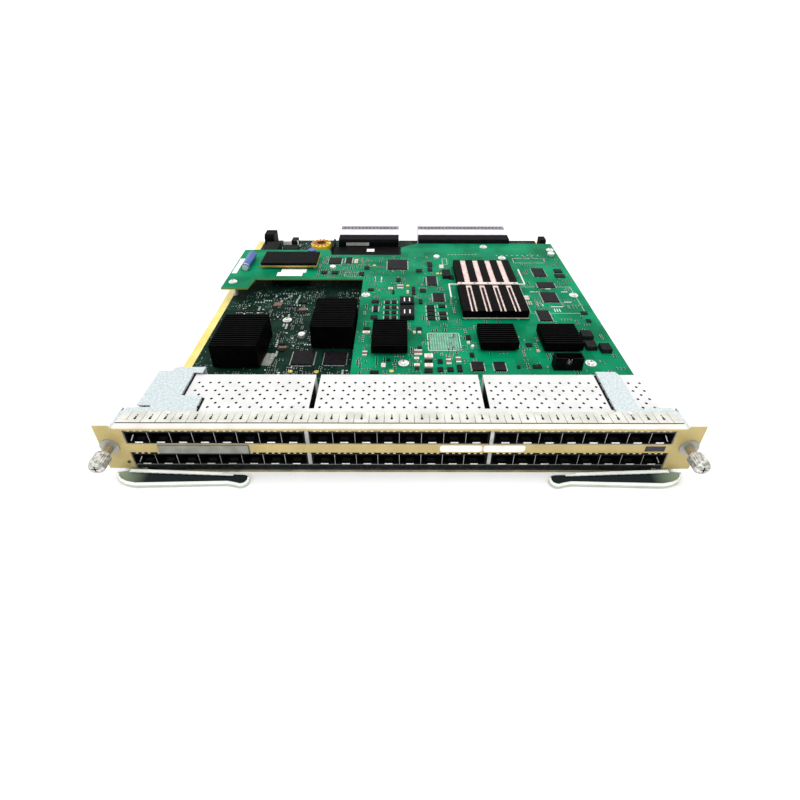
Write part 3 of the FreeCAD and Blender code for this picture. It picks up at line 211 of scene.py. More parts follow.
ferrite = clouded("ferrite_grey", "#121415", "#232627", 2.5, 0.2, 0.6, 0.0, 0.3, 0.05)
ceramic_brown = clouded("ceramic_brown", "#5d4036", "#7d5b4c", 2.0, 0.15, 0.4, 0.0, 0.1)
ceramic_pink = clouded("ceramic_pink", "#c3a89c", "#dcc6bb", 2.0, 0.15, 0.4, 0.0, 0.1)
ceramic_tan = clouded("ceramic_tan", "#a98d5c", "#c4a978", 2.0, 0.15, 0.4, 0.0, 0.1)
gold_pad = clouded("gold_pad", "#c9b04b", "#e2cd72", 2.0, 0.2, 0.3, 0.7, 0.05)
tinned_pad = clouded("tinned_pad", "#b9c4bd", "#dfe6e0", 1.5, 0.15, 0.35, 0.4, 0.05)
silk_ink = clouded("silk_ink", "#c8dccf", "#e6f2ea", 1.5, 0.15, 0.6, 0.0, 0.05)
paper_label = clouded("paper_label", "#eceae6", "#f8f7f4", 5.0, 0.15, 0.65, 0.0, 0.08)
grey_film = clouded("grey_film", "#7f8178", "#92948b", 8.0, 0.2, 0.5, 0.0, 0.05, 0.2)
bare_film = clouded("bare_film", "#3f8468", "#569a7c", 6.0, 0.2, 0.5, 0.0, 0.05, 0.2)
pale_liner = clouded("pale_liner", "#cdb3ac", "#ead3cc", 5.0, 0.3, 0.6, 0.0, 0.15, 0.2)
blue_sleeve = clouded("blue_sleeve", "#1d3a7c", "#3a5cab", 3.0, 0.4, 0.35, 0.0, 0.08)
core_yellow = clouded("core_yellow", "#e0b91c", "#f0d23a", 4.0, 0.3, 0.5, 0.0, 0.15)
copper_wire = clouded("copper_wire", "#6e2f10", "#b3601f", 2.5, 0.2, 0.35, 0.4, 0.08)
brass_board = clouded("brass_board", "#a8893f", "#c3a557", 9.0, 0.3, 0.45, 0.3, 0.1)
clear_lens = clouded("clear_lens", "#26352b", "#3c4f42", 1.0, 0.2, 0.15, 0.0, 0.02)
socket_black = clouded("socket_black", "#020202", "#050505", 5.0, 0.3, 0.7, 0.0, 0.2, 0.0)
print("plain finishes", len(bpy.data.materials))

# %% [markdown]
# ## The circuit boards
# Solder mask is a clear green film, and what the eye reads is the copper below: broad pours,
# bundles of parallel tracks and scattered vias.  A picture of a board could be wrapped on, but
# here bricks give the pours, waves in some bricks the tracks, and small cells the vias.  The
# edges show the glass fibre.


# %% A board finish
BLOB_MM = 11        # areas that differ in their tracks and vias
FIBRE = "#76863a"   # bare glass fibre
MASK_SHINE = 0.03
WAVE = 0.314        # scale that gives one band to a track's pitch


def solder_mask(name, deep, film, track, via, pour_mm, track_mm, via_mm, roughness, top_mm):
    """Green film over pours, tracks and vias, and bare glass fibre on the edges below the top."""
    material = clouded(name, deep, film, 34.0, 0.3, roughness, 0.0, 0.05)
    tree, shader, base, place = bench(material)
    pours = add(tree, "TexBrick", {"Vector": place, "Scale": 1 / (pour_mm * MM),
                                   "Color1": (0, 0, 0, 1), "Color2": (1, 1, 1, 1),
                                   "Mortar": (0.5, 0.5, 0.5, 1), "Mortar Size": 0.01,
                                   "Brick Width": 0.9, "Row Height": 0.6})
    waves = [add(tree, "TexWave", {"Vector": place, "Scale": WAVE / (track_mm * MM),
                                   "Distortion": 0.0}, bands_direction=turn).outputs["Fac"]
             for turn in ("X", "Y")]
    blobs = add(tree, "TexNoise", {"Vector": place, "Scale": 1 / (BLOB_MM * MM),
                                   "Detail": 1.0}).outputs["Fac"]
    along = reckon(tree, "GREATER_THAN", blobs, 0.5)
    bundle = add(tree, "Mix", {"Factor": along, "A": waves[0], "B": waves[1]}).outputs["Result"]
    line = reckon(tree, "GREATER_THAN", bundle, 0.62)
    shown = reckon(tree, "GREATER_THAN", pours.outputs["Color"], 0.55)
    faint = reckon(tree, "MULTIPLY", reckon(tree, "MULTIPLY", line, shown), 0.55)
    cells = add(tree, "TexVoronoi", {"Vector": place, "Scale": 1 / (via_mm * MM),
                                     "Randomness": 0.55}).outputs["Distance"]
    dot = reckon(tree, "LESS_THAN", cells, 0.16)
    vias = reckon(tree, "MULTIPLY", dot, reckon(tree, "GREATER_THAN", blobs, 0.53))
    dotted = blend(tree, vias, blend(tree, faint, base, linear(track)), linear(via))
    height = add(tree, "SeparateXYZ", {"Vector": place}).outputs["Z"]
    below = reckon(tree, "LESS_THAN", height, (top_mm - 0.05) * MM)
    tree.links.new(blend(tree, below, dotted, linear(FIBRE)), shader.inputs["Base Color"])
    shader.inputs["Specular IOR Level"].default_value = MASK_SHINE
    return material


upper_mask = solder_mask("upper_board_mask", "#006341", "#008559", "#149a70", "#a8cdb4",
                         21.0, 0.9, 3.1, 0.42, UPPER)
lower_mask = solder_mask("lower_board_mask", "#051b13", "#0d2a20", "#23473a", "#8ea79a",
                         17.0, 0.8, 2.9, 0.45, LOWER)
print("board finishes done")

# %% [markdown]
# ## Finishes that change along the piece
# A cage's inside is painted black as shade, and its shell behind the front is bright.  A cover is
# bright on top and painted black below it, as shade in its holes, and the dividers are painted
# black as shade inside the ports.  The panel's face is tan, and its faces behind are pale, a
# painted highlight; a lever is greyer below and pale above, a painted highlight on its walls and
# rims.  A step on one Object coordinate mixes the two colours, so that the change stays with the
# piece when it moves.


# %% A finish that steps along an axis
def stepped(name, first, second, axis, edge_mm, blend_mm, roughness, metallic):
    """Colour first below the edge on that axis, and second above it; X counts from the middle."""
    material = clouded(name, "#f0f0f0", "#ffffff", 14.0, 0.4, roughness, metallic, 0.1, 0.2)
    tree, shader, cloud, place = bench(material)
    where = add(tree, "SeparateXYZ", {"Vector": place}).outputs[axis]
    if axis == "X":
        where = reckon(tree, "ABSOLUTE", where)
    step = add(tree, "MapRange", {"Value": where, "From Min": (edge_mm - blend_mm) * MM,
                                  "From Max": (edge_mm + blend_mm) * MM})
    pair = blend(tree, step.outputs["Result"], linear(first), linear(second))
    tree.links.new(blend(tree, 1.0, pair, cloud, "MULTIPLY"), shader.inputs["Base Color"])
    return material


# Painted shade: cages are black inside the ports, in front of 50 mm, and bright tin behind.
cage_inside_painted_shade = stepped("cage_inside_painted_shade", "#040404", "#d8d8d6", "Y", 50.0, 1.0, 0.6, 0.0)
# Painted shade: a cover is black below its top face, so its holes read dark.
cover_painted_hole_shade = stepped("cover_painted_hole_shade", "#0c0b0a", "#d9d9d8", "Z", CAGE_TOP - 0.1, 0.03, 0.45, 0.1)
# Painted shade: the dividers are black, as the shade inside the ports.
divider_painted_shade = stepped("divider_painted_shade", "#0a0a0a", "#040404", "Y", -0.2, 0.1, 0.6, 0.0)
# Painted highlight: the panel is tan on its face and pale on its faces behind it.
panel_tan_painted_highlight = stepped("panel_tan_painted_highlight", "#c4b177", "#dedbd2", "Y", -0.95, 0.15, 0.45, 0.2)
# Painted highlight: a lever is near white above its floor, on walls and rims, and greyer below.
lever_painted_highlight = stepped("lever_painted_highlight", "#c3cdbf", "#fbfff8", "Z", 2.1, 0.15, 0.35, 0.0)
ferrule_plate = stepped("ferrule_plate", "#a3957a", "#a9aaa3", "Y", -2.1, 0.1, 0.38, 0.4)
# Painted shade: a lever's floor is dark inwards and light near its pivot end.
lever_floor_painted_shade = stepped("lever_floor_painted_shade", "#1d2729", "#a5b8a1", "X", 178.0, 11.0, 0.45, 0.1)
print("stepped finishes done")

# %% [markdown]
# ## Dressing the solids
# A table from finish to nodes shows best that nothing is left bare.  The loop stops if a node
# has no finish, because a grey default piece is easy to miss in a render.

# %% Give each node its finish
FINISHES = {
    panel_tan_painted_highlight: ["faceplate"],
    chromate_tray: ["carrier_tray"],
    clear_lens: ["status_led"],
    grey_film: ["label_plate"],
    spring_bronze: ["gasket_strip"],
    zinc_bracket: ["left_bracket", "right_bracket"],
    cover_painted_hole_shade: [name + "_cover" for name in CAGES],
    cage_inside_painted_shade: [name + part for name in CAGES for part in ("_shell", "_shelf")],
    divider_painted_shade: [name + "_dividers" for name in CAGES],
    socket_black: [name + "_sockets" for name in CAGES],
    lower_mask: ["main_board"],
    bright_tin: ["board_standoffs", "board_screws", "panel_rivets", "lever_pivots",
                 "left_thumbscrew", "right_thumbscrew", "left_retaining_ring",
                 "right_retaining_ring", "left_screw_spring", "right_screw_spring",
                 "processor_clip"],
    brass_board: ["power_module_board"],
    ferrule_plate: ["ferrules"],
    moulded_black: ["power_module_core", "link_sockets", "box_header", "bus_housings",
                    "bus_plinth", "guide_blocks", "heatsink_packages"],
    moulded_white: ["link_plugs", "bus_insulators"],
    moulded_grey: ["bus_combs"],
    moulded_chip: ["mezzanine_chips", "main_chips"],
    anodised_black: ["main_heatsinks", "mezzanine_heatsinks", "processor_heatsink"],
    ferrite: ["choke_blocks", "coil_blocks"],
    upper_mask: ["mezzanine_board", "processor_substrate"],
    core_yellow: ["toroid_inductor"],
    blue_sleeve: ["blue_capacitor", "disc_capacitor"],
    lever_painted_highlight: ["left_lever", "right_lever"],
}
bare = set(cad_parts)
for material, names in FINISHES.items():
    for name in names:
        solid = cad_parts[name]
        solid.data.materials.clear()
        solid.data.materials.append(material)
        bare.discard(name)
print("nodes without a finish:", sorted(bare))
assert not bare

# %% [markdown]
# ## Stage, light and camera
# Bare electronics are pictured in light from all round, so that black heat sinks keep their
# edges and there is hardly a shadow.  A bright world does most of it, dimmer on the near side,
# so that faces turned to the front stand apart from faces turned up.  Two wide lamps, above and
# in front, give the metal a direction to gleam in.

# %% Floor, lamps and camera
def linked(name, data):
    """A new object in the scene."""
    made = bpy.data.objects.new(name, data)
    bpy.context.scene.collection.objects.link(made)
    return made


NEAR_AIR, FAR_AIR = 0.55, 1.3   # the world's strength in front of the card and behind it
floor_bm = bmesh.new()
bmesh.ops.create_grid(floor_bm, x_segments=1, y_segments=1, size=6.0)
floor_mesh = bpy.data.meshes.new("studio_floor")
floor_bm.to_mesh(floor_mesh)
floor_bm.free()
floor = linked("studio_floor", floor_mesh)
floor.location.z = -0.2 * MM
floor_paint = clouded("studio_paint", "#fbfbfb", "#ffffff", 400.0, 3.0, 0.8, 0.0, 0.0)
floor_mesh.materials.append(floor_paint)
floor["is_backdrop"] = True

world = bpy.data.worlds.new("studio_air")
world.use_nodes = True
air = world.node_tree
sky = add(air, "TexCoord").outputs["Generated"]
heading = add(air, "SeparateXYZ", {"Vector": sky}).outputs["Y"]
fade = add(air, "MapRange", {"Value": heading, "From Min": -0.75, "From Max": 0.05,
                             "To Min": NEAR_AIR, "To Max": FAR_AIR})
air.links.new(fade.outputs["Result"], air.nodes["Background"].inputs["Strength"])
air.nodes["Background"].inputs["Color"].default_value = (1.0, 1.0, 1.0, 1.0)
bpy.context.scene.world = world


def soft_lamp(name, place, aim, width, power):
    """A square area lamp turned towards a point."""
    data = bpy.data.lights.new(name, "AREA")
    data.size = width
    data.energy = power
    lamp = linked(name, data)
    lamp.location = place
    lamp.rotation_euler = (Vector(aim) - Vector(place)).to_track_quat("-Z", "Y").to_euler()
    lamp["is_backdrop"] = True


soft_lamp("top_softbox", (0.25, 0.1, 1.3), (0, 0.2, 0), 1.0, 7.0)
soft_lamp("front_softbox", (-0.5, -1.1, 0.8), (0, 0, 0.02), 0.8, 4.5)

camera_data = bpy.data.cameras.new("bench_camera")
camera_data.lens = 22.40
camera_data.sensor_width = 36.0
camera_data.shift_y = -0.073
camera_data.clip_start = 0.01
camera = linked("bench_camera", camera_data)
camera.location = (0.00052, -0.23199, 0.26009)
camera.rotation_euler = (math.radians(56.25), math.radians(-0.05), math.radians(0.07))
bpy.context.scene.camera = camera
bpy.context.scene.view_settings.view_transform = "Standard"
print("stage, lamps and camera placed")

# %% [markdown]
# ## Modelling helpers
# Most small parts on a board start as a block or a drum, so two helpers make those.  Another
# turns a profile round an axis, which is how round and stepped things are made on a lathe.  The
# last wraps a finished bmesh as a piece that rides on its body.


# %% Blocks, drums, turned parts and pieces
def block(bm, x0, x1, y0, y1, z0, z1, finish=0):
    """A block between two corners."""
    made = bmesh.ops.create_cube(bm, size=1.0)["verts"]
    bmesh.ops.scale(bm, vec=Vector((x1 - x0, y1 - y0, z1 - z0)) * MM, verts=made)
    bmesh.ops.translate(bm, vec=Vector((x0 + x1, y0 + y1, z0 + z1)) * MM / 2, verts=made)
    for face in {f for v in made for f in v.link_faces}:
        face.material_index = finish
    return made


def carry(bm, verts, turn, place):
    """Turn points about the origin and carry them to a place."""
    bmesh.ops.rotate(bm, cent=(0, 0, 0), matrix=turn, verts=verts)
    bmesh.ops.translate(bm, vec=Vector(place) * MM, verts=verts)


def drum(bm, radius, place, height, finish=0, sides=12, turn=Matrix.Identity(3)):
    """A drum that stands on a place, or lies where a turn lays it down."""
    made = bmesh.ops.create_cone(bm, cap_ends=True, segments=sides, radius1=radius * MM,
                                 radius2=radius * MM, depth=height * MM)["verts"]
    bmesh.ops.translate(bm, vec=(0, 0, height * MM / 2), verts=made)
    carry(bm, made, turn, place)
    for face in {f for v in made for f in v.link_faces}:
        face.material_index = finish


def turned(bm, profile, place, steps=20, finish=0):
    """A profile of (radius, height) turned once round an upright axis, then placed."""
    own = bmesh.new()
    verts = [own.verts.new((r * MM, 0, z * MM)) for r, z in profile]
    edges = [own.edges.new(pair) for pair in zip(verts, verts[1:])]
    bmesh.ops.spin(own, geom=verts + edges, cent=(0, 0, 0), axis=(0, 0, 1), angle=2 * math.pi,
                   steps=steps, use_merge=True)
    bmesh.ops.remove_doubles(own, verts=own.verts, dist=0.001 * MM)
    bmesh.ops.translate(own, vec=Vector(place) * MM, verts=own.verts)
    for face in own.faces:
        face.material_index = finish
    mesh = bpy.data.meshes.new("turned")
    own.to_mesh(mesh)
    own.free()
    bm.from_mesh(mesh)
    bpy.data.meshes.remove(mesh)


def piece(name, bm, finishes, body="card"):
    """Close the bmesh as a named piece, in flat facets, that rides on a body."""
    bmesh.ops.recalc_face_normals(bm, faces=bm.faces)
    for face in bm.faces:
        face.smooth = False
    mesh = bpy.data.meshes.new(name)
    bm.to_mesh(mesh)
    bm.free()
    for finish in finishes:
        mesh.materials.append(finish)
    made = linked(name, mesh)
    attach(made, body)
    print(name, len(mesh.polygons), "faces")
    return made


FACE_FRONT = Matrix.Rotation(math.radians(90), 3, "X")  # turns an upright axis to the front
print("helpers ready")

# %% [markdown]
# ## Port mouths
# Each port shows a black mouth between thin bright dividers, with a metal tab at its bottom.
# Above each row, short spring fingers touch the panel and earth the cages.  All are plain folded
# strips, so loops over cages, rows and ports place them as blocks.  In the outermost ports a
# spring shows as one slanted stroke.

# %% Tabs, dividers' edges and contact springs
TAB_HALF, FINGER_HALF, RIM_HALF = 2.6, 0.8, 0.14    # half of each strip's width
FINGER_STEP = 3.95      # three fingers over each port
STROKE_X, STROKE_TURN = 174.0, 28
tabs = bmesh.new()
springs = bmesh.new()
rims = bmesh.new()
rows = (LOWER_FLOOR, LOWER_FLOOR + ROW_PITCH)
for x0, x1 in CAGE_X:
    first = (x0 + x1) / 2 - PORT_PITCH * PORTS / 2
    for floor_z in rows:
        lip = floor_z + PORT_H + LIP_H
        for i in range(PORTS):
            middle = first + PORT_PITCH * (i + 0.5)
            block(tabs, middle - TAB_HALF, middle + TAB_HALF, -0.72, -0.55,
                  floor_z - 0.1, floor_z + 0.95)
            for side in (-1, 0, 1):
                x = middle + side * FINGER_STEP
                block(springs, x - FINGER_HALF, x + FINGER_HALF, -0.95, -0.7, lip + 0.1, lip + 0.8)
            if i:
                x = first + PORT_PITCH * i
                block(rims, x - RIM_HALF, x + RIM_HALF, -0.72, -0.6,
                      floor_z + 0.1, floor_z + PORT_H + 0.6)
for side in (-1, 1):
    for floor_z in rows:
        made = block(rims, -0.3, 0.3, -0.7, -0.3, 2.0, PORT_H - 0.6)
        slant = Matrix.Rotation(math.radians(-STROKE_TURN * side), 3, "Y")
        carry(rims, made, slant, (side * STROKE_X, 0, floor_z))
piece("port_tabs", tabs, [bright_tin])
piece("contact_springs", springs, [straw_film])
piece("divider_rims", rims, [silver_post])

# %% [markdown]
# ## The front's bare strips
# Two silver posts part the three windows, a dark strip of painted shade hides the lower board's
# front edge, and below it the panel's foot and the tray's lip are painted in shade.  Two paper
# stickers and a dark plate sit on the middle band, all left blank, and the label plate gets painted
# shade along three edges.  The stickers' rounded corners come from a bevel on four of their edges
# only.


# %% Posts, edge strip and stickers
STICKER_R, STICKER_THICK = 2.0, 0.1
FOIL = 0.06         # the thinnest strips
POST_LOW, POST_HIGH = 7.7, 37.7


def sticker(bm, x0, x1, z0, z1):
    """A thin plate on the panel's face with rounded corners."""
    made = block(bm, x0, x1, PANEL_FRONT - STICKER_THICK, PANEL_FRONT, z0, z1)
    edges = {e for v in made for e in v.link_edges}
    corners = [e for e in edges if abs(e.verts[0].co.y - e.verts[1].co.y) > STICKER_THICK * MM / 2]
    bmesh.ops.bevel(bm, geom=corners, offset=STICKER_R * MM, offset_type="OFFSET", segments=4,
                    affect="EDGES", profile=0.5, material=-1)


strips = bmesh.new()
for left, right in zip(CAGE_X, CAGE_X[1:]):
    middle = (left[1] + right[0]) / 2
    for low, high in ((POST_LOW, BAND[0] - 0.1), (BAND[1] + 0.1, POST_HIGH)):
        block(strips, middle - 1.1, middle + 1.25, PANEL_FRONT - 0.12, PANEL_FRONT, low, high, 0)
        block(strips, middle - 1.6, middle - 1.1, PANEL_FRONT - 0.08, PANEL_FRONT, low, high, 1)
piece("post_strips", strips, [silver_post, moulded_chip])

edge = bmesh.new()
edge_x = CAGE_X[-1][1] - 0.5
# Painted shade: a dark strip over the lower board's front edge.
block(edge, -edge_x, edge_x, -0.85, -0.6, LOWER - 2.5, LOWER + 0.25, 0)
block(edge, -edge_x, edge_x, -0.75, -0.6, LOWER + 0.3, LOWER + 0.6, 1)
# Painted shade at the panel's foot: the tray's lip in shaded olive, and a dark band above it.
block(edge, -165.0, 165.0, PANEL_FRONT - FOIL, PANEL_FRONT, 0.0, 2.0, 2)
block(edge, -169.0, 169.0, PANEL_FRONT - FOIL, PANEL_FRONT, 2.0, 4.3, 0)
piece("board_edge_strip", edge, [ferrite, grey_film, painted_shade_chromate])

stickers = bmesh.new()
for x0, x1 in ((26.4, 54.0), (54.7, 82.0)):
    sticker(stickers, x0, x1, 19.2, 25.0)
block(stickers, 160.0, 173.0, PANEL_FRONT - FOIL, PANEL_FRONT, 19.8, 24.4, 1)
(fx0, fy0, fz0), (fx1, _, fz1) = in_mm(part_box("label_plate"))
# Painted shade along the label plate's top, bottom and right edges.
for x0, x1, z0, z1 in ((fx0, fx1, fz1 - 0.35, fz1), (fx0, fx1, fz0, fz0 + 0.5),
                       (fx1 - 0.6, fx1, fz0, fz1)):
    block(stickers, x0, x1, fy0 - INK, fy0, z0, z1, 1)
piece("panel_stickers", stickers, [paper_label, comb_shadow])

# %% [markdown]
# ## Small parts on the upper board
# A real board carries hundreds of parts, but in few kinds: moulded chips, two-ended capacitors
# and resistors, bare pads.  One function per kind keeps the lists of places short.


# %% One function for each kind of small part
SWELL = 0.1         # how far a body stands out past its two ends
BODY_HALF = 0.3     # half of its share of the length
LEG_OUT, LEG_HALF, LEG_H = 1.1, 0.3, 0.35
BREAK = 0.15        # how far edges are broken


def round_spot(x, y, w, d):
    """The four edges of a rectangle round a spot."""
    return x - w / 2, x + w / 2, y - d / 2, y + d / 2


def chips(bm, places, level, height=1.1, finish=0):
    """Plain moulded bodies: (x, y, width, depth) of each."""
    for place in places:
        block(bm, *round_spot(*place), level, level + height, finish)


def break_edges(bm):
    """Take the sharpness off every edge."""
    bmesh.ops.bevel(bm, geom=bm.edges[:], offset=BREAK * MM, offset_type="OFFSET", segments=1,
                    affect="EDGES", profile=0.5, material=-1)


def two_ended(bm, places, level, height, body, ends):
    """A body between two bright ends, along the longer side."""
    for x, y, w, d in places:
        x0, x1, y0, y1 = round_spot(x, y, w, d)
        block(bm, x0, x1, y0, y1, level, level + height, ends)
        if w > d:
            x0, x1, y0, y1 = x - w * BODY_HALF, x + w * BODY_HALF, y0 - SWELL, y1 + SWELL
        else:
            x0, x1, y0, y1 = x0 - SWELL, x1 + SWELL, y - d * BODY_HALF, y + d * BODY_HALF
        block(bm, x0, x1, y0, y1, level, level + height + SWELL, body)


def legs(bm, x0, x1, y0, y1, level, pitch, ends=True, sides=True, finish=0):
    """Rows of short legs round a chip."""
    top = level + LEG_H
    if sides:
        for i in range(int((y1 - y0) / pitch)):
            y = y0 + pitch * (i + 0.75)
            for a, b in ((x0 - LEG_OUT, x0), (x1, x1 + LEG_OUT)):
                block(bm, a, b, y - LEG_HALF, y + LEG_HALF, level, top, finish)
    if ends:
        for i in range(int((x1 - x0) / pitch)):
            x = x0 + pitch * (i + 0.75)
            for a, b in ((y0 - LEG_OUT, y0), (y1, y1 + LEG_OUT)):
                block(bm, x - LEG_HALF, x + LEG_HALF, a, b, level, top, finish)


def outline(bm, x0, x1, y0, y1, width, finish):
    """A printed frame on the upper board."""
    for edges in ((x0, x1, y0, y0 + width), (x0, x1, y1 - width, y1),
                  (x0, x0 + width, y0, y1), (x1 - width, x1, y0, y1)):
        block(bm, *edges, UPPER, UPPER + INK, finish)


print("small-part functions ready")

# %% [markdown]
# ## The upper board, area by area
# The chips come first, as they are what the eye counts.  Those in straight rows are made by
# loops and the rest are listed, one list for each area of the board.

# %% Chips, capacitors and pads of the upper board
upper_chips = bmesh.new()
memory = [(x, y, 5.0, 5.5) for x in (-12.0, -5.5) for y in (165.5, 174.5, 184.5, 194.5)]
drivers = [(29.5, y, 7.5, 5.5) for y in (163.5, 171.0, 178.5, 185.5)]
drivers += [(40.5, y, 7.0, 5.5) for y in (164.0, 173.0, 186.5)]
middle = [(21.0, 265.0, 6.5, 7.0), (33.5, 281.0, 5.5, 11.5), (33.0, 268.0, 5.0, 8.0),
          (-1.5, 242.5, 4.5, 7.5), (-6.5, 215.5, 2.0, 8.0), (14.0, 222.0, 3.5, 9.0),
          (14.0, 212.5, 3.5, 6.0), (-24.0, 195.5, 7.0, 5.5), (-24.0, 165.5, 6.5, 6.0),
          (20.5, 195.5, 3.5, 8.5), (23.5, 218.5, 6.0, 7.0), (55.5, 248.5, 6.0, 9.5)]
front = [(17.5, 144.5, 5.0, 6.5), (17.0, 115.0, 3.5, 4.5), (14.0, 86.5, 3.0, 3.5),
         (23.5, 96.5, 6.5, 3.5), (23.0, 83.5, 6.5, 5.0), (33.0, 96.0, 4.0, 5.5),
         (48.0, 86.5, 4.0, 9.0), (32.5, 85.0, 4.5, 5.5), (40.5, 85.0, 5.0, 5.5),
         (-20.0, 81.5, 7.0, 3.5), (-9.0, 98.0, 3.0, 3.0), (-29.5, 145.0, 5.5, 5.5),
         (60.0, 131.5, 4.0, 6.5), (60.0, 105.0, 3.5, 6.0), (110.5, 120.0, 5.0, 5.0),
         (95.5, 88.5, 2.5, 3.5), (110.5, 89.0, 7.0, 4.5)]
wing = [(-58.0, 291.5, 7.0, 15.0), (-82.5, 260.0, 6.5, 6.5), (-70.5, 260.0, 7.0, 6.5),
        (-41.5, 256.5, 5.5, 8.5), (-36.5, 272.0, 5.0, 7.0), (-29.5, 220.5, 6.0, 4.5)]
right_side = [(173.0, 264.5, 8.5, 8.0), (172.0, 252.5, 10.5, 7.5), (174.0, 174.0, 6.0, 5.0),
              (174.0, 160.0, 4.0, 5.0)]
for area in (memory, drivers, middle, front, wing, right_side):
    chips(upper_chips, area, UPPER)
chips(upper_chips, [(-23.0, 181.5, 4.5, 10.5), (-73.5, 289.5, 14.0, 15.0)], UPPER, 1.5)
break_edges(upper_chips)
piece("upper_board_chips", upper_chips, [moulded_chip])

upper_legs = bmesh.new()
for place in drivers + memory:
    legs(upper_legs, *round_spot(*place), UPPER, 1.3, ends=False)
legs(upper_legs, -25.4, -20.8, 176.4, 186.6, UPPER, 1.2, ends=False)
legs(upper_legs, -80.3, -66.3, 281.9, 296.9, UPPER, 1.3)
legs(upper_legs, -61.5, -54.5, 284.2, 299.2, UPPER, 1.3, ends=False)
for edges in ((-13.8, 8.3, 267.4, 291.0), (28.6, 38.8, 229.6, 250.4), (33.0, 44.2, 195.5, 212.0),
              (144.5, 157.5, 250.5, 270.0), (143.0, 160.5, 225.0, 236.0),
              (141.5, 156.5, 194.5, 214.0), (129.5, 141.0, 159.0, 178.0),
              (58.0, 67.5, 83.0, 94.0), (76.0, 85.0, 83.0, 94.0)):
    legs(upper_legs, *edges, UPPER, 1.5)
piece("upper_board_legs", upper_legs, [bright_tin])

capacitors = bmesh.new()
BROWN, ENDS, PINK, TAN = 0, 1, 2, 3     # finish slots of the capacitors
two_ended(capacitors, [(0.5, 226.0, 6.5, 7.5), (15.5, 108.0, 6.5, 7.0), (40.0, 95.0, 4.0, 6.5),
                       (48.0, 97.5, 4.0, 7.0), (-29.0, 106.5, 4.0, 6.0)], UPPER, 1.5, BROWN, ENDS)
two_ended(capacitors, [(46.0, 274.0, 4.5, 8.0), (17.5, 139.0, 3.0, 3.0), (14.0, 99.5, 4.0, 2.5),
                       (14.0, 90.5, 4.5, 3.0), (24.0, 103.0, 7.0, 5.5), (23.5, 90.0, 6.5, 4.5),
                       (-13.0, 90.0, 3.5, 5.0), (-29.5, 139.0, 6.5, 3.5), (125.5, 202.5, 4.5, 7.5),
                       (59.0, 122.5, 2.5, 3.5)], UPPER, 1.5, PINK, ENDS)
two_ended(capacitors, [(-9.5, 222.0, 4.5, 4.0), (8.0, 214.0, 2.0, 6.0), (13.0, 139.0, 2.5, 3.5),
                       (-49.5, 288.0, 4.0, 9.0), (116.0, 110.5, 2.5, 3.0)], UPPER, 1.5, TAN, ENDS)
two_ended(capacitors, [(x, 192.5, 1.0, 6.0) for x in (124.0, 126.0, 128.0)], UPPER, 1.0, TAN, ENDS)
piece("upper_board_capacitors", capacitors, [ceramic_brown, bright_tin, ceramic_pink, ceramic_tan])

cans = bmesh.new()
for x, y, r in ((42.0, 299.0, 3.6), (176.0, 308.0, 4.0), (-74.0, 271.4, 3.4), (61.7, 115.6, 1.6)):
    turned(cans, [(0, 0), (r, 0), (r, 2.6), (r - 0.4, 3.0), (r - 0.8, 2.8), (0, 2.8)],
           (x, y, UPPER), 16)
for x, y in ((-28.6, 278.7), (-6.4, 83.3), (8.1, 229.8), (40.9, 258.5), (45.2, 258.5)):
    drum(cans, 1.9, (x, y, UPPER), 0.4, 1)
piece("round_capacitors", cans, [bright_tin, gold_pad])

marks = bmesh.new()
TINNED, PRINTED, BARE = 0, 1, 3     # finish slots of the marks
ARRAY = 12          # pads along each side of the square array


def pad(x0, x1, y0, y1, finish):
    """A bare pad or a thick printed bar on the upper board."""
    block(marks, x0, x1, y0, y1, UPPER, UPPER + PAD, finish)


block(marks, 26.0, 50.8, 113.4, 138.0, UPPER, UPPER + 0.02, BARE)
for i in range(ARRAY * ARRAY):
    x, y = 26.9 + (i % ARRAY) * 2.1, 114.3 + (i // ARRAY) * 2.05
    pad(x - 0.35, x + 0.35, y - 0.35, y + 0.35, TINNED)
outline(marks, 24.2, 52.4, 112.0, 139.4, 0.5, PRINTED)
outline(marks, 129.0, 165.0, 286.0, 298.5, 0.4, TINNED)
outline(marks, 48.0, 53.6, 281.8, 297.4, 0.4, TINNED)
outline(marks, 124.0, 176.0, 174.0, 228.0, 0.3, PRINTED)
outline(marks, -60.0, -40.5, 252.0, 262.0, 0.3, PRINTED)
for x in (-26.4, -19.5):
    pad(x - 0.5, x + 0.5, 238.0, 251.0, TINNED)
for x0, x1, y in ((132.0, 142.8, 217.0), (164.0, 170.4, 217.0), (146.0, 157.6, 186.6),
                  (161.2, 168.4, 195.8), (149.8, 154.8, 223.5)):
    pad(x0, x1, y - 0.5, y + 0.5, PRINTED)
for xs, y0, y1 in (((134.1, 136.4, 138.9), 187.8, 194.4), ((148.0, 150.4, 152.8), 177.0, 182.6)):
    for x in xs:
        pad(x - 0.4, x + 0.4, y0, y1, PRINTED)
for i in range(9):
    pad(56.0 + i * 4.0, 57.2 + i * 4.0, 308.6, 309.8, TINNED)
    pad(112.0 + i * 6.0, 113.2 + i * 6.0, 306.0, 307.2, TINNED)
piece("upper_board_marks", marks, [tinned_pad, silk_ink, tinned_pad, bare_film])

# %% [markdown]
# ## The smallest parts
# Between the chips lie hundreds of grains: resistors and capacitors a millimetre or two long.
# Listing them would teach nothing.  A seeded placer tries short rows and keeps the spots where
# rays dropped from above meet bare board, so nothing lands on another part.


# %% A placer for rows of tiny parts
DROP_FROM = 90      # where the rays start
REACH = 1.3         # how far round a spot is looked at
LEVEL_SLACK = 0.08  # prints and pads count as bare board
GRAIN, GRAIN_TALL, GRAIN_GAP = (1.0, 1.9), 0.6, 2.1


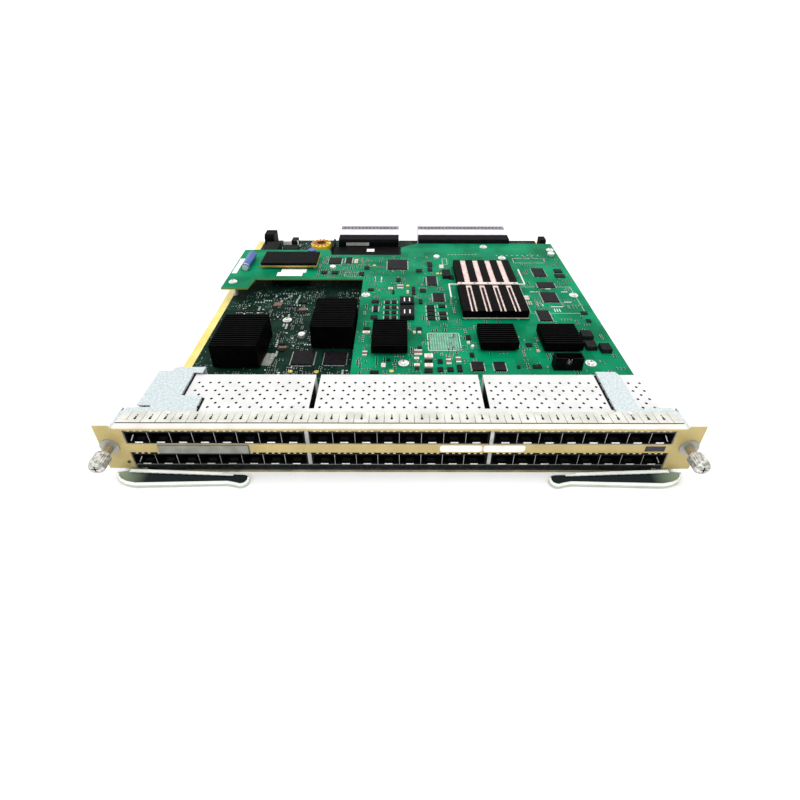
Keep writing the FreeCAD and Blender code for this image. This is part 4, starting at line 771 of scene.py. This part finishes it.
def sight_tree():
    """One search tree over every piece and solid that shows, for dropping rays on."""
    merged = bmesh.new()
    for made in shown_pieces():
        copy = made.data.copy()
        copy.transform(made.matrix_world)
        merged.from_mesh(copy)
        bpy.data.meshes.remove(copy)
    tree = BVHTree.FromBMesh(merged)
    merged.free()
    return tree


def bare_at(tree, x, y, level):
    """True if rays dropped round a spot all meet the board itself."""
    for dx, dy in ((0, 0), (REACH, REACH), (-REACH, REACH), (REACH, -REACH), (-REACH, -REACH)):
        spot = tree.ray_cast(Vector((x + dx, y + dy, DROP_FROM)) * MM, (0, 0, -1))[0]
        if spot is None or abs(spot.z / MM - level) > LEVEL_SLACK:
            return False
    return True


def grains(name, areas, level, tries, seed, bodies):
    """Short rows of tiny two-ended parts in the given areas."""
    chance = random.Random(seed)
    bm = bmesh.new()
    tree = sight_tree()
    placed = []
    for _ in range(tries):
        x0, x1, y0, y1 = chance.choice(areas)
        x, y = chance.uniform(x0, x1), chance.uniform(y0, y1)
        along = chance.random() < 0.5
        body = chance.choice(bodies)
        step = chance.choice((2.3, 2.9))
        for i in range(chance.randint(1, 4)):
            px, py = (x + i * step, y) if along else (x, y + i * step)
            near = any(abs(px - a) < GRAIN_GAP and abs(py - b) < GRAIN_GAP for a, b in placed)
            if near or not bare_at(tree, px, py, level):
                continue
            placed.append((px, py))
            size = GRAIN if along else GRAIN[::-1]
            two_ended(bm, [(px, py, *size)], level, GRAIN_TALL, body, 1)
    print(name, len(placed), "parts")
    piece(name, bm, [moulded_chip, tinned_pad, ceramic_tan, ceramic_brown])


bpy.context.view_layer.update()
busy = [(-38, 56, 150, 300), (-38, 60, 66, 150), (-90, -38, 248, 300), (56, 178, 66, 160),
        (122, 178, 160, 300)]
grains("upper_board_grains", busy + busy[:3], UPPER, 620, 7, (0, 0, 0, 3))
sparse = [(-172, -42, 186, 243), (-170, -42, 188, 240), (-114, -80, 66, 190), (-172, -42, 62, 104),
          (-172, -84, 325, 386)]
grains("lower_board_grains", sparse, LOWER, 460, 11, (0, 0, 1, 0))

# %% [markdown]
# ## The lower board
# It is darker and mostly covered.  In the open corner stand two square chips with legs all
# round, a round can, rows of driver chips and a slanted label.

# %% Parts and labels of the lower board
lower_parts = bmesh.new()
plain_row = [(x, 201.5, 7.5, 3.0) for x in (-161.0, -151.0, -140.5)]
chips(lower_parts, plain_row, LOWER)
chips(lower_parts, [(-72.0, 231.0, 14.0, 3.0), (-100.5, 219.0, 9.0, 3.0), (-110.0, 212.0, 8.5, 2.5),
                    (-99.0, 200.5, 12.0, 3.0), (-106.5, 142.5, 7.0, 2.5),
                    (-106.0, 132.5, 6.0, 2.5)], LOWER)
chips(lower_parts, [(-98.5, 205.0, 6.5, 4.5), (-125.5, 215.5, 8.0, 7.5),
                    (-105.0, 137.0, 6.5, 3.0)], LOWER, 1.4, 1)
break_edges(lower_parts)
legs(lower_parts, -93.5, -74.5, 110.5, 131.0, LOWER, 1.2, finish=2)
legs(lower_parts, -65.5, -46.5, 111.0, 129.5, LOWER, 1.2, finish=2)
for x, y, w, _ in plain_row:
    legs(lower_parts, x - w / 2, x + w / 2, y - 1.6, y + 1.6, LOWER, 1.2, sides=False, finish=2)
for x, y in ((-92.0, 102.0), (-70.0, 101.5)):
    drum(lower_parts, 2.0, (x, y, LOWER), 0.5, 3)
turned(lower_parts, [(0, 0), (3.5, 0), (3.5, 3.0), (3.0, 3.5), (0, 3.5)],
       (-91.0, 156.0, LOWER), 16, 2)
piece("lower_board_parts", lower_parts, [moulded_chip, ceramic_brown, bright_tin, gold_pad])

labels = bmesh.new()
slanted = block(labels, -4.5, 4.5, -9.0, 9.0, LOWER, LOWER + 0.1)
carry(labels, slanted, Matrix.Rotation(math.radians(-8), 3, "Z"), (-114.2, 119.5, 0))
block(labels, -133.0, -105.5, 252.6, 261.5, UPPER, UPPER + 0.1, 1)
block(labels, -130.0, -102.5, 260.6, 269.6, UPPER + 0.02, UPPER + 0.14, 1)
block(labels, -183.0, -177.6, 259.0, 297.0, UPPER, UPPER + 0.1, 1)
piece("blank_labels", labels, [grey_film, paper_label])

# %% [markdown]
# ## The processor's cooler
# Between its five black rails run pale channels, and a clip crosses it at a waist.  The
# channels are thin liners laid in the grooves.  In the front half each has a dark slot between
# two bright edges, open at the front like a fork.

# %% Channel liners and the clip's cover
(px0, py0, _), (px1, py1, ptop) = in_mm(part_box("processor_heatsink"))
WAIST = (214.4, 221.2)  # from its front to its rear
WAIST_GAP = 0.3     # what the liners keep clear of it
RAILS = 5
RAIL_W, GROOVE = 7.4, 1.3
RAIL_STEP = (px1 - px0 - RAIL_W) / (RAILS - 1)
EDGE_W = 1.5        # width of a slot's bright edges
groove_z, front_end = ptop - GROOVE, WAIST[0] - WAIST_GAP
liners = bmesh.new()
for i in range(RAILS - 1):
    a, b = px0 + RAIL_W + i * RAIL_STEP + 0.15, px0 + (i + 1) * RAIL_STEP - 0.15
    block(liners, a, b, WAIST[1] + WAIST_GAP, py1, groove_z, groove_z + 0.25, 0)
    for x0, x1 in ((a, a + EDGE_W), (b - EDGE_W, b)):
        block(liners, x0, x1, py0 + 1.0, front_end, groove_z, groove_z + 0.35, 0)
    block(liners, a + EDGE_W, b - EDGE_W, py0 + 5.0, front_end, groove_z, groove_z + 0.2, 1)
    block(liners, a + EDGE_W, b - EDGE_W, WAIST[0] - 4.0, front_end, groove_z, groove_z + 0.3, 0)
bar_y = sum(WAIST) / 2
block(liners, px0 + 0.4, px1 - 0.4, bar_y - 1.7, bar_y + 1.7, groove_z + 1.15, groove_z + 1.3, 0)
for i in range(RAILS):
    x = px0 + RAIL_W / 2 + i * RAIL_STEP
    block(liners, x - 0.8, x + 0.8, bar_y - 0.8, bar_y + 0.8, groove_z + 1.2, groove_z + 1.36, 1)
block(liners, px0, px1, py0 - 1.15, py0 - 0.3, UPPER + 2.0, UPPER + 2.1, 0)
piece("cooler_liners", liners, [pale_liner, moulded_chip])

# %% [markdown]
# ## The wound ring
# A ring inductor is a yellow powder core with thirteen turns of copper strip round its section.
# What shows of a turn is three bars, across the top, over the shoulder and down the hole,
# rotated about the ring's axis.  The ring stands in for the plain CAD one.

# %% Core and windings of the ring inductor
(tx0, ty0, tz0), (tx1, ty1, tz1) = in_mm(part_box("toroid_inductor"))
ring_at = ((tx0 + tx1) / 2, (ty0 + ty1) / 2)
outer_r, inner_r = (tx1 - tx0) / 2 - 0.1, 5.6
wound_r = outer_r - 1.5     # where the copper turns down
BAR_HALF = 0.95
ring = bmesh.new()
turned(ring, [(inner_r, tz0 + 1.4), (inner_r + 0.8, tz0 + 0.6), (outer_r - 0.8, tz0 + 0.6),
              (outer_r, tz0 + 1.4), (outer_r, tz1 - 1.4), (outer_r - 0.8, tz1 - 0.6),
              (inner_r + 0.8, tz1 - 0.6), (inner_r, tz1 - 1.4), (inner_r, tz0 + 1.4)],
       (*ring_at, 0), 28)
TURNS = 13
for i in range(TURNS):
    angle = math.radians(25 + 310 * i / (TURNS - 1))
    made = []
    for r0, r1, z0, z1 in ((inner_r - 0.7, wound_r, tz1 - 0.7, tz1 - 0.05),
                           (wound_r, wound_r + 0.6, tz1 - 1.5, tz1 - 0.3),
                           (inner_r - 0.7, inner_r, tz0 + 0.1, tz1 - 0.1)):
        made += block(ring, r0, r1, -BAR_HALF, BAR_HALF, z0, z1, 1)
    carry(ring, made, Matrix.Rotation(angle, 3, "Z"), (*ring_at, 0))
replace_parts(piece("wound_ring", ring, [core_yellow, copper_wire]), "toroid_inductor")

# %% [markdown]
# ## Cans, pins and the rear corner
# The lying blue can shows its aluminium end towards the front, the pin header has bright pins,
# and by the rear corner stand a white strip connector and some wound blocks.  The rest are bare
# labels and the dark depth of the backplane combs.

# %% Details of the larger parts
PIN_PITCH = 2.54
details = bmesh.new()
(bx0, by0, _), (bx1, _, bz1) = in_mm(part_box("blue_capacitor"))
can_r = (bx1 - bx0) / 2
for r, y, length in ((can_r - 0.7, by0, 0.25), (can_r + 0.12, by0 + 1.6, 0.9)):
    drum(details, r, ((bx0 + bx1) / 2, y, bz1 - can_r), length, 0, 20, turn=FACE_FRONT)
(hx0, hy0, _), (_, _, htop) = in_mm(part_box("box_header"))
for i in range(6):
    x = PIN_PITCH * i
    for y in (hy0 + 2.6, hy0 + 5.1):
        block(details, hx0 + 4.45 + x, hx0 + 5.15 + x, y - 0.05, y + 0.65,
              UPPER + 3.0, htop - 4.7, 0)
block(details, -150.0, -131.0, 371.5, 374.0, LOWER, LOWER + 5.5, 1)
for i in range(8):
    block(details, -149.0 + 2.3 * i, -148.2 + 2.3 * i, 371.2, 371.6, LOWER + 1.5, LOWER + 4.5, 0)
for i in range(7):
    block(details, -166.6, -149.9, 328.6 + 4.4 * i, 330.8 + 4.4 * i, LOWER + 1.0, LOWER + 10.15, 2)
block(details, -40.0, -31.0, 326.0, 334.0, LOWER + 11.0, LOWER + 11.1, 1)
block(details, -68.0, -12.0, 343.2, 343.4, LOWER + 2.0, LOWER + 9.0, 3)
for x0, x1 in ((-75.2, -1.6), (22.6, 134.0)):
    block(details, x0 + 0.3, x1 - 0.3, 380.3, 390.4, LOWER + 1.0, LOWER + 18.3, 4)
    block(details, x0, x1, 379.0, 380.6, LOWER + 18.0, LOWER + 18.7, 4)
block(details, -66.0, -38.0, 343.25, 343.5, LOWER + 11.4, LOWER + 15.4, 0)
for x in (4.5, 9.5):
    for y in (165.0, 188.0):
        block(details, x - 0.5, x + 0.5, y, y + 7.0, UPPER + 5.2, UPPER + 5.3, 1)
piece("larger_part_details", details, [bright_tin, paper_label, ferrite, grey_film, comb_shadow])

# %% [markdown]
# ## Knurled heads
# The captive screws are turned by hand, so their heads are knurled.  A turned cap gets its
# knurl by drawing every other row of points in, which leaves crisp ridges for few faces.  Its
# skirt is hollow, so that it slides over the ferrule when pushed.  Caps and shanks stand in for
# the plain CAD screws.


# %% The captive screws' heads and shanks
HEAD_L, SHANK_L = 11.24, 14.2   # before and behind the head's rear edge
SKIRT_R, SKIRT_L = 3.5, 7.5     # the hollow in the head
SHANK_R, NECK_R = 1.5, 1.2      # the neck is the groove of the retaining ring
KNURL_STEP, KNURL_DEPTH = 7.5, 0.95     # degrees from ridge to valley, share of the radius


def knurled_screw(name, node, body):
    """A cap with a knurled rim, a crossed face and its shank, along the screw's own axis."""
    (x0, y0, z0), (x1, _, z1) = in_mm(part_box(node))
    x, z, r = (x0 + x1) / 2, (z0 + z1) / 2, (x1 - x0) / 2
    rear = y0 + 11.3
    bm = bmesh.new()
    turned(bm, [(0, SKIRT_L), (SKIRT_R, SKIRT_L), (SKIRT_R, 0), (r - 0.7, 0), (r, 0.7),
                (r, HEAD_L - 2.2), (r - 0.35, HEAD_L - 1.2), (r - 1.1, HEAD_L - 0.35),
                (r - 1.7, HEAD_L), (0, HEAD_L)], (0, 0, 0), 48)
    for vert in bm.verts:
        spot = vert.co / MM
        step = round(math.atan2(spot.y, spot.x) / math.radians(KNURL_STEP))
        if step % 2 and spot.xy.length > r - 0.2:
            vert.co.xy *= KNURL_DEPTH
    turned(bm, [(0, -SHANK_L), (NECK_R, -SHANK_L), (SHANK_R, -SHANK_L + 0.4), (SHANK_R, -10.4),
                (NECK_R, -10.4), (NECK_R, -9.4), (SHANK_R, -9.4), (SHANK_R, SKIRT_L + 0.1),
                (0, SKIRT_L + 0.1)], (0, 0, 0), 16)
    # The dark cross is painted shade of the head's cross recess.
    for w, d in ((2.2, 0.4), (0.4, 2.2)):
        block(bm, -w, w, -d, d, HEAD_L - 0.6, HEAD_L + INK, 1)
    carry(bm, bm.verts, FACE_FRONT, (x, rear, z))
    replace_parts(piece(name, bm, [machined_steel, moulded_black], body), node)


knurled_screw("left_knurled_screw", "left_thumbscrew", "left_screw")
knurled_screw("right_knurled_screw", "right_thumbscrew", "right_screw")

# %% [markdown]
# ## The springs in the screws
# Each captive screw is held out by a coil between the ferrule's well and the head.  The coil
# grows shorter when the screw is pushed; here it is copied from the CAD coil into a mesh of its
# own.

# %% The coils that shorten
for side in ("left", "right"):
    coil = bmesh.new()
    coil.from_mesh(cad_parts[side + "_screw_spring"].data)
    spring = piece(side + "_coil_spring", coil, [bright_tin])
    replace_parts(spring, side + "_screw_spring")
    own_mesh(spring)

# %% [markdown]
# ## Board screws
# Pan-head screws on washers hold the boards.  Each is one turned profile with a dark cross, painted
# shade of its recess, and they stand in for the plain CAD ones.

# %% Pan-head screws
heads = bmesh.new()
screw_places = [(-175.5, 238.1, UPPER), (3.3, 93.7, UPPER), (-34.1, 209.4, UPPER),
                (100.5, 330.8, UPPER), (117.4, 298.7, UPPER), (178.4, 321.7, UPPER),
                (174.3, 209.2, UPPER), (155.0, 93.7, UPPER), (-110.2, 185.1, LOWER)]
for x, y, level in screw_places:
    turned(heads, [(0, 0), (4.4, 0), (4.4, 0.7), (2.9, 0.75), (2.9, 1.6), (2.4, 2.2), (1.4, 2.5),
                   (0, 2.55)], (x, y, level), 20)
    # The dark cross is painted shade of the head's cross recess.
    for w, d in ((1.5, 0.3), (0.3, 1.5)):
        block(heads, x - w, x + w, y - d, y + d, level + 2.2, level + 2.56, 1)
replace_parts(piece("pan_head_screws", heads, [bright_tin, moulded_chip]), "board_screws")

# %% [markdown]
# ## Finger gasket
# The spring strip hooks over the flange with a nose for each finger, and between two fingers a
# slit ends in a keyhole.  Keyholes and slits are thin dark bodies just proud of the strip, as
# what would show through them lies in the shade.

# %% Noses, keyholes and slits of the finger gasket
(gx0, gy0, _), (gx1, _, gtop) = in_mm(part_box("gasket_strip"))
FINGER = 9.8        # from one finger to the next
FLANGE_TOP = corner_mm("left_bracket", True, 2) + 1.2
NOSE = (gy0 - 1.0, gy0 + 1.2)   # from the tip of a nose to the strip
count = int((gx1 - gx0) / FINGER)
holes = bmesh.new()
block(holes, gx0, gx1, *NOSE, FLANGE_TOP, FLANGE_TOP + FOIL, 1)
# Painted shadow: a thin dark strip on the flange just in front of the noses.
block(holes, gx0, gx1, gy0 - 1.8, NOSE[0], FLANGE_TOP, FLANGE_TOP + 0.05, 0)
for i in range(count - 1):
    x = (i + 1 - count / 2) * FINGER
    drum(holes, 0.95, (x, 8.6, gtop - 0.25), 0.3, 0, 8)
    drum(holes, 0.6, (x, 10.3, gtop - 0.4), 0.35, 0, 6)
    block(holes, x - 0.3, x + 0.3, 10.0, 13.0, gtop - 0.75, gtop - 0.38, 0)
    block(holes, x + FINGER / 2 - 0.15, x + FINGER / 2 + 0.15, *NOSE, FLANGE_TOP,
          FLANGE_TOP + 0.08, 0)
piece("gasket_details", holes, [moulded_chip, spring_bronze])

# %% [markdown]
# ## Lever floors and edge gaps
# A lever's floor is painted light near its pivot and dark towards the finger end, as painted
# shade.  Its faces are lifted from the solid itself, so that they fit exactly, and short pale
# blocks follow the slope of the front wall as a rim, a painted highlight.  Where a bracket lies on
# a cover, a thin black body paints the shade in the gap at its edge.

# %% Lever floors and the gaps beside the brackets
FLOOR_Z, LIFT = 1.8, 0.03
RIM_FROM, RIM_STEP, RIM_BLOCKS = 180.0, 5.0, 14     # from the pivot inwards
RIM_Y, RIM_SLOPE = -3.2, 0.043
for side in ("left", "right"):
    floors = bmesh.new()
    floors.from_mesh(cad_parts[side + "_lever"].data)
    floors.normal_update()
    gone = [f for f in floors.faces
            if f.normal.z < 0.9 or abs(f.calc_center_median().z - FLOOR_Z * MM) > 0.05 * MM]
    bmesh.ops.delete(floors, geom=gone, context="FACES")
    bmesh.ops.translate(floors, vec=(0, 0, LIFT * MM), verts=floors.verts)
    bmesh.ops.solidify(floors, geom=floors.faces[:], thickness=0.02 * MM)
    # The pale rim blocks are a painted highlight along the wall.
    for i in range(RIM_BLOCKS):
        near = RIM_FROM - i * RIM_STEP
        y = RIM_Y - RIM_SLOPE * (RIM_FROM + 0.5 - near)
        span = (near - RIM_STEP, near) if side == "right" else (-near, RIM_STEP - near)
        block(floors, *span, y - 1.3, y, 2.9, 3.5, 1)
    piece(side + "_lever_floor", floors, [lever_floor_painted_shade, lever_painted_highlight], side + "_lever")

gaps = bmesh.new()
# Painted shade: thin black bodies in the gaps beside the brackets' edges.
for edges in ((-150.8, -149.2, 32.5, 60.0), (-135.8, -134.2, 16.0, 31.8),
              (142.2, 143.9, 20.0, 58.0)):
    block(gaps, *edges, CAGE_TOP, CAGE_TOP + 0.05)
block(gaps, -176.5, -163.5, 14.6, 15.8, CAGE_TOP + 1.85, CAGE_TOP + 1.9)
piece("bracket_gap_shade", gaps, [moulded_chip])
